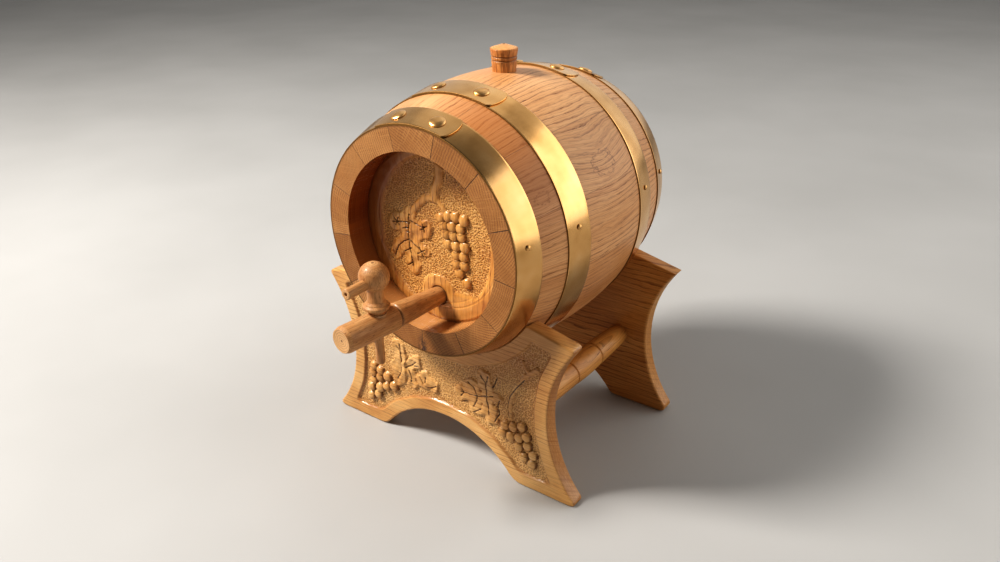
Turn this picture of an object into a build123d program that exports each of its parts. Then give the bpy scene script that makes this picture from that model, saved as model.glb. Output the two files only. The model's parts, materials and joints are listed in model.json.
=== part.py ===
"""A small oak wine barrel lying on a carved stand, with a wooden tap and a bung.

Units are millimetres. +Z is up and +Y runs from the tapped front head to the rear head.
The origin is on the floor, below the middle of the whole object. Distances called
"station" are measured along the barrel from the plane of its front rim.
"""

import os
from math import asin, cos, radians, sin, sqrt

from build123d import *

os.makedirs("parts", exist_ok=True)

# ---- Barrel ----
BARREL_LENGTH = 243.0
END_RADIUS = 100.0  # outside of the staves at either rim
BELLY_RADIUS = 121.5  # outside of the staves half way along
AXIS_HEIGHT = 224.0  # barrel axis above the floor
STAVE_COUNT = 13
CHIME_RADIUS = 79.3  # inside of the staves between rim and head
CAVITY_BELLY_RADIUS = 101.5
CAVITY_END_RADIUS = 84.0
HEAD_RECESS = 24.5  # from the rim to the face of a head
HEAD_THICKNESS = 14.0
HEAD_GAP = 0.2  # round the head, in the chime
CROZE_DEPTH = 4.5  # groove in the staves that holds a head's bevelled edge
CROZE_GAP = 0.1
CROZE_START = 4.0  # from the head's face to the front of its bevelled edge
CROZE_WIDTH = 6.0
CROZE_BEVEL = 1.5
CHIME_END = 39.5  # station where the turned chime ends and the rough inside begins
CAVITY_START = 44.0

# ---- Carved field of the front head, an oval left of and below the centre ----
FIELD_OVAL = (61.0, 68.0)
FIELD_CENTRE = (-2.5, -9.5)
FIELD_DEPTH = 1.2
TAP_BOSS_RADIUS = 18.0  # smooth round left standing for the tap

# ---- Hoops ----
HOOP_THICKNESS = 1.0
HOOP_GAP = 0.05
HOOPS = {
    "front_chime": (0.0, 24.0),
    "front_bilge": (52.0, 79.0),
    "rear_bilge": (BARREL_LENGTH - 79.0, BARREL_LENGTH - 52.0),
    "rear_chime": (BARREL_LENGTH - 24.0, BARREL_LENGTH),
}
LAP_END_ANGLE = 72.0  # visible end of the lapped strip, counter-clockwise from +X
LAP_START_ANGLE = 112.0
LAP_NOSE = 4.5  # how far the rounded end bulges
RIVET_ANGLES = (80.0, 102.0)
RIVET_HEAD_RADIUS = 6.7
RIVET_HEAD_HEIGHT = 2.4
RIVET_BRIM = 0.5
RIVET_SHANK_RADIUS = 2.0
NAIL_ANGLES = (10.5, 169.5)
NAIL_HEAD_RADIUS = 2.2
NAIL_HEAD_HEIGHT = 1.7
NAIL_SHANK_RADIUS = 0.8
NAIL_LENGTH = 11.0

# ---- Bung ----
BUNG_STATION = 125.0
BUNG_SURFACE_RADIUS = 10.45  # where it enters the stave
BUNG_TOP_RADIUS = 12.35
BUNG_RIM_HEIGHT = 18.8  # above the stave
BUNG_APEX_HEIGHT = 23.4
BUNG_DEPTH = 25.0  # below the outside of the stave
BUNG_END_RADIUS = 8.45
BUNG_GROOVES = (10.6, 13.2)
BUNG_GROOVE_HALF = 0.6
BUNG_FIT = 0.15  # radial gap of the tapered bung in its hole

# ---- Tap ----
TAP_YAW = 6.0  # degrees that the tap points towards the left of straight ahead
TAP_DROP = 56.0  # tap axis below the barrel axis
TAP_REACH = 108.3  # from the head's face to the tap's front end
TAP_RADIUS = 11.7
TAP_EDGE = 1.2
TAP_STEP = 51.8  # from the head's face to the shoulder of the shank
TAP_STEP_RADIUS = 11.0
TAP_HEAD_RADIUS = 8.0  # shank where it enters the head
TAP_TAIL = 30.0  # shank inside the barrel
TAP_BORE_RADIUS = 3.0
TAP_FIT = 0.15
SHOULDER_GROOVE = 1.2
KEY_REACH = 69.8  # from the head's face to the key's axis
KEY_PLUG_TOP = 14.5  # top of the tapered plug above the tap's axis
KEY_PLUG_BOTTOM = -8.0
KEY_PLUG_RADIUS = 6.1  # on the tap's axis
KEY_TAPER = 0.05  # radius gained per millimetre of height
KEY_FIT = 0.08  # running gap of the plug in the cork
KEY_PORT_RADIUS = 2.3
KEY_FLANGE_RADIUS = 11.3
KEY_FLANGE_THICKNESS = 4.4
KEY_NECK_RADIUS = 6.8
KEY_NECK_HEIGHT = 27.5
KEY_BALL_RADIUS = 12.8
KEY_BALL_HEIGHT = 43.2
PEG_RADIUS = 4.7
PEG_HEIGHT = 40.0
PEG_REACH = 32.0
PEG_EDGE = 0.8
PEG_HOLE_RADIUS = 1.4
PEG_HOLE_DEPTH = 3.0
PEG_SOCKET_DEPTH = 7.0  # how far the peg is glued into the ball
CORK_WALL = 1.5
CORK_TOP = 11.0
CORK_GAP = 0.05
CORK_BOTTOM = -8.6
SPOUT_RADIUS = 3.8
SPOUT_BORE_RADIUS = 2.3
SPOUT_REACH = 36.3  # lower end below the tap's axis

# ---- Stand ----
PANEL_STATION = 25.0  # front face of the front panel
PANEL_THICKNESS = 15.0
WAIST_HALF = 113.6
WAIST_HEIGHT = 81.0
SIDE_RADIUS = 117.2  # hollow curve of each side
ARCH_HEIGHT = 41.0
ARCH_RADIUS = 93.6
EAR_CORNER = (94.3, 165.8)  # where an ear meets the cradle
EAR_SLOPE = 0.22
PANEL_HALF_BLANK = 150.0
FOOT_ROUND = 5.0
FOOT_INNER_ROUND = 10.0
EAR_ROUND = 4.0
PANEL_EDGE_ROUND = 2.0
CRADLE_GAP = 0.4
BORDER_WIDTH = 13.5  # smooth frame left round the sunk field of the front panel
BORDER_FOOT = 13.0
PANEL_FIELD_DEPTH = 2.0
STRETCHER_X = 84.0
STRETCHER_HEIGHT = 75.0
TENON_RADIUS = 7.0
TENON_LENGTH = 8.0
TENON_GAP = 0.05
STRETCHER_GROOVES = (67.0, 110.0)  # from the back of the front panel
STRETCHER_RADII = (11.0, 12.3, 13.0, 12.3, 9.8)
GROOVE_DEPTH = 1.1
GROOVE_HALF = 1.1

# ---- Worked out from the above ----
HALF_LENGTH = BARREL_LENGTH / 2
BULGE = BELLY_RADIUS - END_RADIUS
SHELL_ARC = (HALF_LENGTH**2 + BULGE**2) / (2 * BULGE)
STAVE_ANGLE = 360 / STAVE_COUNT
YAW = radians(TAP_YAW)
TAP_FRONT = (
    (TAP_REACH - TAP_EDGE) * cos(YAW)
    + (TAP_RADIUS - TAP_EDGE) * sin(YAW)
    + TAP_EDGE
    - HEAD_RECESS
)
RIM_Y = (TAP_FRONT - BARREL_LENGTH) / 2  # centres the whole object on Y = 0
AXIS_POINT = (0, RIM_Y, AXIS_HEIGHT)
BARREL_AXIS = Axis(AXIS_POINT, (0, -1, 0))  # positive turns run counter-clockwise from the front
OUTWARD = (-sin(YAW), -cos(YAW), 0)  # from the head towards the tap's front end
TAP_ORIGIN = (0, RIM_Y + HEAD_RECESS, AXIS_HEIGHT - TAP_DROP)
TAP_AXIS = Axis(TAP_ORIGIN, OUTWARD)
KEY_POINT = (
    TAP_ORIGIN[0] + OUTWARD[0] * KEY_REACH,
    TAP_ORIGIN[1] + OUTWARD[1] * KEY_REACH,
    TAP_ORIGIN[2],
)
PEG_SEAT_REACH = KEY_BALL_RADIUS - PEG_SOCKET_DEPTH  # from the key's axis to the socket's floor
PEG_SEAT = Plane(
    (KEY_POINT[0], KEY_POINT[1] - PEG_SEAT_REACH, KEY_POINT[2] + PEG_HEIGHT),
    x_dir=(1, 0, 0),
    z_dir=(0, -1, 0),
)


def shell_radius(station, proud=0.0):
    """Radius of the barrel's bulged outside at a station, or of a surface proud of it."""
    return sqrt((SHELL_ARC + proud) ** 2 - (station - HALF_LENGTH) ** 2) - SHELL_ARC + BELLY_RADIUS


def radial_plane(angle):
    """Half plane through the barrel's axis: local x is the radius, local y the station."""
    a = radians(angle)
    return Plane(AXIS_POINT, x_dir=(cos(a), 0, sin(a)), z_dir=(-sin(a), 0, cos(a)))


def surface_plane(station, angle, proud=0.0):
    """Plane resting on the barrel's outside, with its normal pointing outwards."""
    a = radians(angle)
    lean = asin((station - HALF_LENGTH) / SHELL_ARC)
    radius = shell_radius(station) + proud * cos(lean)
    foot = (cos(a) * radius, RIM_Y + station + proud * sin(lean), AXIS_HEIGHT + sin(a) * radius)
    normal = (cos(a) * cos(lean), sin(lean), sin(a) * cos(lean))
    return Plane(foot, x_dir=(-sin(a), 0, cos(a)), z_dir=normal)


def shell_band(start, end, inner, outer):
    """Outline, on a radial plane, of a strip that follows the bulge between two stations."""
    middle = (start + end) / 2
    with BuildLine() as band:
        ThreePointArc(
            (shell_radius(start, inner), start),
            (shell_radius(middle, inner), middle),
            (shell_radius(end, inner), end),
        )
        Line((shell_radius(end, inner), end), (shell_radius(end, outer), end))
        ThreePointArc(
            (shell_radius(end, outer), end),
            (shell_radius(middle, outer), middle),
            (shell_radius(start, outer), start),
        )
        Line((shell_radius(start, outer), start), (shell_radius(start, inner), start))
    make_face(band.edges())


def dome_shoulder(radius, base, top):
    """Point half way out on a spherical dome that spans a radius between two heights."""
    rise = top - base
    sphere = (radius**2 + rise**2) / (2 * rise)
    return (radius / 2, top - sphere + sqrt(sphere**2 - (radius / 2) ** 2))


def facing_front(point):
    """Upright plane through a point: local x runs right, local y up, and it faces forward."""
    return Plane(point, x_dir=(1, 0, 0), z_dir=(0, -1, 0))


def nail_stations():
    """One nail row per hoop, at the middle of its width."""
    return [(start + end) / 2 for start, end in HOOPS.values()]


def key_cone(bottom, top, extra, mode):
    """Cone on the key's axis, wider than the key's plug by extra."""
    with Locations((KEY_POINT[0], KEY_POINT[1], KEY_POINT[2] + bottom)):
        Cone(
            KEY_PLUG_RADIUS + KEY_TAPER * bottom + extra,
            KEY_PLUG_RADIUS + KEY_TAPER * top + extra,
            top - bottom,
            align=(Align.CENTER, Align.CENTER, Align.MIN),
            mode=mode,
        )


def save(part, label):
    """Name the finished piece and write it as one STEP file."""
    part.part.label = label
    export_step(part.part, f"parts/{label}.step")


# ---- Staves: 13 wedges of one turned shell, the first one on top with the bung hole ----
def croze(front):
    """Corners of the groove for a head, from its mouth on the rim side to the other side."""
    start = front + CROZE_START - CROZE_GAP
    end = front + CROZE_START + CROZE_WIDTH + CROZE_GAP
    floor_radius = CHIME_RADIUS + CROZE_DEPTH + CROZE_GAP
    return [
        (CHIME_RADIUS, start),
        (floor_radius, start + CROZE_BEVEL),
        (floor_radius, end - CROZE_BEVEL),
        (CHIME_RADIUS, end),
    ]


def mirrored(points):
    """The same corners at the other end of the barrel, in running order."""
    return [(radius, BARREL_LENGTH - station) for radius, station in reversed(points)]


front_chime = [(END_RADIUS, 0), (CHIME_RADIUS, 0), *croze(HEAD_RECESS)]
front_chime += [(CHIME_RADIUS, CHIME_END), (CAVITY_END_RADIUS, CAVITY_START)]

for index in range(STAVE_COUNT):
    first_joint = 90 - STAVE_ANGLE / 2 + index * STAVE_ANGLE
    with BuildPart() as stave:
        with BuildSketch(radial_plane(first_joint)):
            with BuildLine():
                Polyline(*front_chime)
                ThreePointArc(
                    (CAVITY_END_RADIUS, CAVITY_START),
                    (CAVITY_BELLY_RADIUS, HALF_LENGTH),
                    (CAVITY_END_RADIUS, BARREL_LENGTH - CAVITY_START),
                )
                Polyline(*mirrored(front_chime))
                ThreePointArc(
                    (END_RADIUS, BARREL_LENGTH), (BELLY_RADIUS, HALF_LENGTH), (END_RADIUS, 0)
                )
            make_face()
        revolve(axis=BARREL_AXIS, revolution_arc=STAVE_ANGLE)
        if index == 0:
            bung_slope = (BUNG_SURFACE_RADIUS - BUNG_END_RADIUS) / BUNG_DEPTH
            hole_overrun = 3.0
            with Locations((0, RIM_Y + BUNG_STATION, AXIS_HEIGHT + BELLY_RADIUS + hole_overrun)):
                Cone(
                    BUNG_END_RADIUS + BUNG_FIT - bung_slope * hole_overrun,
                    BUNG_SURFACE_RADIUS + BUNG_FIT + bung_slope * hole_overrun,
                    BUNG_DEPTH + 2 * hole_overrun,
                    align=(Align.CENTER, Align.CENTER, Align.MAX),
                    mode=Mode.SUBTRACT,
                )
        for nail_angle in NAIL_ANGLES:
            if (nail_angle - first_joint) % 360 < STAVE_ANGLE:
                for station in nail_stations():
                    with BuildSketch(surface_plane(station, nail_angle)):
                        Circle(NAIL_SHANK_RADIUS)
                    extrude(amount=-NAIL_LENGTH, mode=Mode.SUBTRACT)
    save(stave, f"stave_{index + 1:02d}")


# ---- Heads ----
def head_outline(front):
    """Half section of a head whose visible face is at a station; back < front mirrors it."""
    turn = 1 if front < HALF_LENGTH else -1
    body = CHIME_RADIUS - HEAD_GAP
    edge = CHIME_RADIUS + CROZE_DEPTH
    start = CROZE_START
    end = CROZE_START + CROZE_WIDTH
    corners = [(0, 0), (body, 0), (body, start), (edge, start + CROZE_BEVEL)]
    corners += [(edge, end - CROZE_BEVEL), (body, end), (body, HEAD_THICKNESS), (0, HEAD_THICKNESS)]
    with BuildLine() as section:
        Polyline(*[(radius, front + turn * depth) for radius, depth in corners], close=True)
    make_face(section.edges())


with BuildPart() as front_head:
    with BuildSketch(radial_plane(0)):
        head_outline(HEAD_RECESS)
    revolve(axis=BARREL_AXIS)
    face_plane = Plane.XZ.offset(-(RIM_Y + HEAD_RECESS))
    with BuildSketch(face_plane):
        with Locations((FIELD_CENTRE[0], AXIS_HEIGHT + FIELD_CENTRE[1])):
            Ellipse(*FIELD_OVAL)
        with Locations((0, AXIS_HEIGHT - TAP_DROP)):
            Circle(TAP_BOSS_RADIUS, mode=Mode.SUBTRACT)
    extrude(amount=-FIELD_DEPTH, mode=Mode.SUBTRACT)
    shank_slope = (TAP_STEP_RADIUS - TAP_HEAD_RADIUS) / TAP_STEP
    hole_half = 1.5 * HEAD_THICKNESS
    with BuildSketch(Plane(TAP_ORIGIN, x_dir=OUTWARD, z_dir=(-cos(YAW), sin(YAW), 0))):
        with BuildLine():
            Polyline(
                (-hole_half, 0),
                (-hole_half, TAP_HEAD_RADIUS + TAP_FIT - shank_slope * hole_half),
                (hole_half, TAP_HEAD_RADIUS + TAP_FIT + shank_slope * hole_half),
                (hole_half, 0),
                close=True,
            )
        make_face()
    revolve(axis=TAP_AXIS, mode=Mode.SUBTRACT)
save(front_head, "front_head")

with BuildPart() as rear_head:
    with BuildSketch(radial_plane(0)):
        head_outline(BARREL_LENGTH - HEAD_RECESS)
    revolve(axis=BARREL_AXIS)
save(rear_head, "rear_head")


# ---- Hoops: a brass strip closed by a lapped, riveted end, and nailed at both sides ----
for name, (hoop_start, hoop_end) in HOOPS.items():
    inner = HOOP_GAP
    outer = HOOP_GAP + HOOP_THICKNESS
    lap_outer = outer + HOOP_THICKNESS
    centre_station = (hoop_start + hoop_end) / 2
    width = hoop_end - hoop_start
    nose_radius = ((width / 2) ** 2 + LAP_NOSE**2) / (2 * LAP_NOSE)
    with BuildPart() as hoop:
        with BuildSketch(radial_plane(LAP_END_ANGLE - 6)):
            shell_band(hoop_start, hoop_end, outer, lap_outer)
        revolve(axis=BARREL_AXIS, revolution_arc=LAP_START_ANGLE - LAP_END_ANGLE + 6)
        # the lap's free end is rounded: keep what lies behind a bulging edge
        with BuildSketch(surface_plane(centre_station, LAP_END_ANGLE)):
            keep = 4 * END_RADIUS
            with Locations((keep / 2, 0)):
                Rectangle(keep, keep)
            with Locations((nose_radius - LAP_NOSE, 0)):
                Circle(nose_radius)
        extrude(amount=END_RADIUS, both=True, mode=Mode.INTERSECT)
        with BuildSketch(radial_plane(0)):
            shell_band(hoop_start, hoop_end, inner, outer)
        revolve(axis=BARREL_AXIS)
        for angle in RIVET_ANGLES:
            with BuildSketch(surface_plane(centre_station, angle)):
                Circle(RIVET_SHANK_RADIUS)
            extrude(amount=3 * HOOP_THICKNESS, mode=Mode.SUBTRACT)
        for angle in NAIL_ANGLES:
            with BuildSketch(surface_plane(centre_station, angle)):
                Circle(NAIL_SHANK_RADIUS)
            extrude(amount=3 * HOOP_THICKNESS, mode=Mode.SUBTRACT)
    save(hoop, f"hoop_{name}")

    with BuildPart() as rivets:
        for angle in RIVET_ANGLES:
            seat = surface_plane(centre_station, angle, lap_outer)
            section = Plane(seat.origin, x_dir=seat.x_dir, z_dir=-seat.y_dir)
            with BuildSketch(section):
                with BuildLine():
                    shank = HOOP_THICKNESS * 2
                    Polyline(
                        (0, RIVET_HEAD_HEIGHT),
                        (0, shank * -1),
                        (RIVET_SHANK_RADIUS, shank * -1),
                        (RIVET_SHANK_RADIUS, 0),
                        (RIVET_HEAD_RADIUS, 0),
                        (RIVET_HEAD_RADIUS, RIVET_BRIM),
                    )
                    ThreePointArc(
                        (RIVET_HEAD_RADIUS, RIVET_BRIM),
                        dome_shoulder(RIVET_HEAD_RADIUS, RIVET_BRIM, RIVET_HEAD_HEIGHT),
                        (0, RIVET_HEAD_HEIGHT),
                    )
                make_face()
            revolve(axis=Axis(section.origin, section.y_dir))
    save(rivets, f"rivets_{name}")

    with BuildPart() as nails:
        for angle in NAIL_ANGLES:
            seat = surface_plane(centre_station, angle, outer)
            section = Plane(seat.origin, x_dir=seat.x_dir, z_dir=-seat.y_dir)
            with BuildSketch(section):
                with BuildLine():
                    point = NAIL_SHANK_RADIUS * 2
                    Polyline(
                        (0, NAIL_HEAD_HEIGHT),
                        (0, -NAIL_LENGTH),
                        (NAIL_SHANK_RADIUS, point - NAIL_LENGTH),
                        (NAIL_SHANK_RADIUS, 0),
                        (NAIL_HEAD_RADIUS, 0),
                    )
                    ThreePointArc(
                        (NAIL_HEAD_RADIUS, 0),
                        dome_shoulder(NAIL_HEAD_RADIUS, 0, NAIL_HEAD_HEIGHT),
                        (0, NAIL_HEAD_HEIGHT),
                    )
                make_face()
            revolve(axis=Axis(section.origin, section.y_dir))
    save(nails, f"nails_{name}")


# ---- Bung ----
with BuildPart() as bung:
    with BuildSketch(facing_front((0, RIM_Y + BUNG_STATION, AXIS_HEIGHT + BELLY_RADIUS))):
        flare = (BUNG_TOP_RADIUS - BUNG_SURFACE_RADIUS) / BUNG_RIM_HEIGHT
        outline = [(0, BUNG_APEX_HEIGHT), (0, -BUNG_DEPTH), (BUNG_END_RADIUS, -BUNG_DEPTH)]
        outline.append((BUNG_SURFACE_RADIUS, 0))
        for height in BUNG_GROOVES:
            radius = BUNG_SURFACE_RADIUS + flare * height
            outline.append((radius, height - BUNG_GROOVE_HALF))
            outline.append((radius - BUNG_GROOVE_HALF, height))
            outline.append((radius, height + BUNG_GROOVE_HALF))
        outline.append((BUNG_TOP_RADIUS, BUNG_RIM_HEIGHT))
        with BuildLine():
            Polyline(*outline, close=True)
        make_face()
    revolve(axis=Axis((0, RIM_Y + BUNG_STATION, 0), (0, 0, 1)))
save(bung, "bung")


# ---- Tap ----
with BuildPart() as tap_body:
    with BuildSketch(Plane(TAP_ORIGIN, x_dir=OUTWARD, z_dir=(-cos(YAW), sin(YAW), 0))):
        with BuildLine():
            Polyline(
                (TAP_REACH, TAP_RADIUS - TAP_EDGE),
                (TAP_REACH, 0),
                (-TAP_TAIL, 0),
                (-TAP_TAIL, TAP_HEAD_RADIUS - shank_slope * TAP_TAIL),
                (TAP_STEP - SHOULDER_GROOVE, TAP_STEP_RADIUS - shank_slope * SHOULDER_GROOVE),
                (TAP_STEP, TAP_STEP_RADIUS - SHOULDER_GROOVE),
                (TAP_STEP + SHOULDER_GROOVE, TAP_RADIUS),
                (TAP_REACH - TAP_EDGE, TAP_RADIUS),
            )
            RadiusArc((TAP_REACH - TAP_EDGE, TAP_RADIUS), (TAP_REACH, TAP_RADIUS - TAP_EDGE), TAP_EDGE)
        make_face()
    revolve(axis=TAP_AXIS)
    with BuildSketch(Plane(TAP_ORIGIN, z_dir=OUTWARD).offset(-TAP_TAIL)):
        Circle(TAP_BORE_RADIUS)
    extrude(amount=TAP_TAIL + KEY_REACH, mode=Mode.SUBTRACT)
    key_cone(CORK_BOTTOM, TAP_RADIUS + 1, KEY_FIT + CORK_WALL + CORK_GAP, Mode.SUBTRACT)
    with BuildSketch(Plane((KEY_POINT[0], KEY_POINT[1], KEY_POINT[2] - TAP_RADIUS - 1))):
        Circle(SPOUT_RADIUS + TENON_GAP)
    extrude(amount=TAP_RADIUS, mode=Mode.SUBTRACT)
save(tap_body, "tap_body")

with BuildPart() as tap_spout:
    with BuildSketch(Plane((KEY_POINT[0], KEY_POINT[1], KEY_POINT[2] - SPOUT_REACH))):
        Circle(SPOUT_RADIUS)
        Circle(SPOUT_BORE_RADIUS, mode=Mode.SUBTRACT)
    extrude(amount=SPOUT_REACH + CORK_BOTTOM)
save(tap_spout, "tap_spout")

with BuildPart() as key_cork:
    key_cone(CORK_BOTTOM, CORK_TOP, KEY_FIT + CORK_WALL, Mode.ADD)
    key_cone(CORK_BOTTOM - 1, CORK_TOP + 1, KEY_FIT, Mode.SUBTRACT)
    with BuildSketch(Plane(KEY_POINT, z_dir=OUTWARD)):
        Circle(TAP_BORE_RADIUS)
    extrude(amount=-TAP_RADIUS, mode=Mode.SUBTRACT)
save(key_cork, "key_cork")

with BuildPart() as tap_key:
    with BuildSketch(facing_front(KEY_POINT)):
        flange_top = KEY_PLUG_TOP + KEY_FLANGE_THICKNESS
        ball_bottom = KEY_BALL_HEIGHT - sqrt(KEY_BALL_RADIUS**2 - KEY_NECK_RADIUS**2)
        with BuildLine():
            Polyline(
                (0, KEY_BALL_HEIGHT + KEY_BALL_RADIUS),
                (0, KEY_PLUG_BOTTOM),
                (KEY_PLUG_RADIUS + KEY_TAPER * KEY_PLUG_BOTTOM, KEY_PLUG_BOTTOM),
                (KEY_PLUG_RADIUS + KEY_TAPER * KEY_PLUG_TOP, KEY_PLUG_TOP),
                (KEY_FLANGE_RADIUS - 1, KEY_PLUG_TOP),
            )
            ThreePointArc(
                (KEY_FLANGE_RADIUS - 1, KEY_PLUG_TOP),
                (KEY_FLANGE_RADIUS, KEY_PLUG_TOP + KEY_FLANGE_THICKNESS / 2),
                (KEY_FLANGE_RADIUS - 1, flange_top),
            )
            ThreePointArc(
                (KEY_FLANGE_RADIUS - 1, flange_top),
                (KEY_NECK_RADIUS + 0.6, KEY_NECK_HEIGHT - 4),
                (KEY_NECK_RADIUS, KEY_NECK_HEIGHT),
            )
            Line((KEY_NECK_RADIUS, KEY_NECK_HEIGHT), (KEY_NECK_RADIUS, ball_bottom))
            ThreePointArc(
                (KEY_NECK_RADIUS, ball_bottom),
                (KEY_BALL_RADIUS, KEY_BALL_HEIGHT),
                (0, KEY_BALL_HEIGHT + KEY_BALL_RADIUS),
            )
        make_face()
    revolve(axis=Axis(KEY_POINT, (0, 0, 1)))
    # waterway: in at the side of the plug, out at its lower end
    with BuildSketch(Plane((KEY_POINT[0], KEY_POINT[1], KEY_POINT[2] + KEY_PLUG_BOTTOM))):
        Circle(KEY_PORT_RADIUS)
    extrude(amount=-KEY_PLUG_BOTTOM + KEY_PORT_RADIUS, mode=Mode.SUBTRACT)
    with BuildSketch(Plane(KEY_POINT, z_dir=(1, 0, 0))):
        Circle(KEY_PORT_RADIUS)
    extrude(amount=KEY_PLUG_RADIUS * 2, mode=Mode.SUBTRACT)
    with BuildSketch(PEG_SEAT):
        Circle(PEG_RADIUS + TENON_GAP)
    extrude(amount=KEY_BALL_RADIUS, mode=Mode.SUBTRACT)
save(tap_key, "tap_key")

with BuildPart() as key_peg:
    with BuildSketch(PEG_SEAT):
        Circle(PEG_RADIUS)
    extrude(amount=PEG_REACH - PEG_SEAT_REACH)
    fillet(key_peg.edges().group_by(Axis.Y)[0], radius=PEG_EDGE)
    with BuildSketch(PEG_SEAT.offset(PEG_REACH - PEG_SEAT_REACH)):
        Circle(PEG_HOLE_RADIUS)
    extrude(amount=-PEG_HOLE_DEPTH, mode=Mode.SUBTRACT)
save(key_peg, "key_peg")


# ---- Stand: two waisted panels, cradling the barrel, joined by two turned stretchers ----
SIDE_CENTRE = WAIST_HALF + SIDE_RADIUS
ARCH_CENTRE = ARCH_HEIGHT - ARCH_RADIUS
CRADLE_RADIUS = shell_radius(PANEL_STATION + PANEL_THICKNESS / 2)
EAR_PEAK = EAR_CORNER[1] + EAR_SLOPE * EAR_CORNER[0]
EAR_LOW = EAR_PEAK - EAR_SLOPE * PANEL_HALF_BLANK
SOCKET_CENTRES = [(STRETCHER_X, STRETCHER_HEIGHT), (-STRETCHER_X, STRETCHER_HEIGHT)]


def panel_outline():
    """Waisted outline with an arch below and sloping ears; the cradle is cut afterwards."""
    with BuildLine() as blank:
        Polyline(
            (-PANEL_HALF_BLANK, 0),
            (PANEL_HALF_BLANK, 0),
            (PANEL_HALF_BLANK, EAR_LOW),
            (0, EAR_PEAK),
            (-PANEL_HALF_BLANK, EAR_LOW),
            close=True,
        )
    make_face(blank.edges())
    with Locations((SIDE_CENTRE, WAIST_HEIGHT), (-SIDE_CENTRE, WAIST_HEIGHT)):
        Circle(SIDE_RADIUS, mode=Mode.SUBTRACT)
    with Locations((0, ARCH_CENTRE)):
        Circle(ARCH_RADIUS, mode=Mode.SUBTRACT)


def make_panel(front_station, socket_face, carved):
    """One panel, with stretcher sockets opening on the given side."""
    face_y = RIM_Y + front_station
    with BuildPart() as panel:
        with BuildSketch(Plane.XZ.offset(-face_y)) as outline:
            panel_outline()
            floor_corners = outline.vertices().group_by(Axis.Z)[0].sort_by(Axis.X)
            fillet([floor_corners[0], floor_corners[-1]], radius=FOOT_ROUND)
            inner_corners = [v for v in outline.vertices() if v.Z < 1 and abs(v.X) < WAIST_HALF * 0.8]
            fillet(inner_corners, radius=FOOT_INNER_ROUND)
            ear_tips = [v for v in outline.vertices() if v.Z > EAR_LOW and abs(v.X) > WAIST_HALF]
            fillet(ear_tips, radius=EAR_ROUND)
        extrude(amount=-PANEL_THICKNESS)
        rim_edges = panel.edges().filter_by(lambda e: abs(e.bounding_box().size.Y) < 0.01)
        fillet(rim_edges, radius=PANEL_EDGE_ROUND)
        # seat for the barrel, following its bulge with a small gap
        middle = front_station + PANEL_THICKNESS / 2
        low, high = middle - 2 * PANEL_THICKNESS, middle + 2 * PANEL_THICKNESS
        with BuildSketch(radial_plane(0)):
            with BuildLine():
                ThreePointArc(
                    (shell_radius(low, CRADLE_GAP), low),
                    (shell_radius(middle, CRADLE_GAP), middle),
                    (shell_radius(high, CRADLE_GAP), high),
                )
                Polyline(
                    (shell_radius(high, CRADLE_GAP), high),
                    (0, high),
                    (0, low),
                    (shell_radius(low, CRADLE_GAP), low),
                )
            make_face()
        revolve(axis=BARREL_AXIS, mode=Mode.SUBTRACT)
        if carved:
            with BuildSketch(Plane.XZ.offset(-face_y)):
                with Locations((0, BORDER_FOOT)):
                    Rectangle(
                        2 * PANEL_HALF_BLANK,
                        EAR_CORNER[1] - BORDER_FOOT - BORDER_WIDTH,
                        align=(Align.CENTER, Align.MIN),
                    )
                with Locations((SIDE_CENTRE, WAIST_HEIGHT), (-SIDE_CENTRE, WAIST_HEIGHT)):
                    Circle(SIDE_RADIUS + BORDER_WIDTH, mode=Mode.SUBTRACT)
                with Locations((0, ARCH_CENTRE)):
                    Circle(ARCH_RADIUS + BORDER_WIDTH, mode=Mode.SUBTRACT)
                with Locations((0, AXIS_HEIGHT)):
                    Circle(CRADLE_RADIUS + BORDER_WIDTH, mode=Mode.SUBTRACT)
            extrude(amount=-PANEL_FIELD_DEPTH, mode=Mode.SUBTRACT)
        depth = TENON_LENGTH + TENON_GAP
        socket_start = face_y + PANEL_THICKNESS - depth if socket_face == "back" else face_y
        with BuildSketch(Plane.XZ.offset(-socket_start)):
            with Locations(*SOCKET_CENTRES):
                Circle(TENON_RADIUS + TENON_GAP)
        extrude(amount=-depth, mode=Mode.SUBTRACT)
    return panel


save(make_panel(PANEL_STATION, "back", carved=True), "stand_front_panel")
REAR_PANEL_STATION = BARREL_LENGTH - PANEL_STATION - PANEL_THICKNESS
save(make_panel(REAR_PANEL_STATION, "front", carved=False), "stand_rear_panel")

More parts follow.
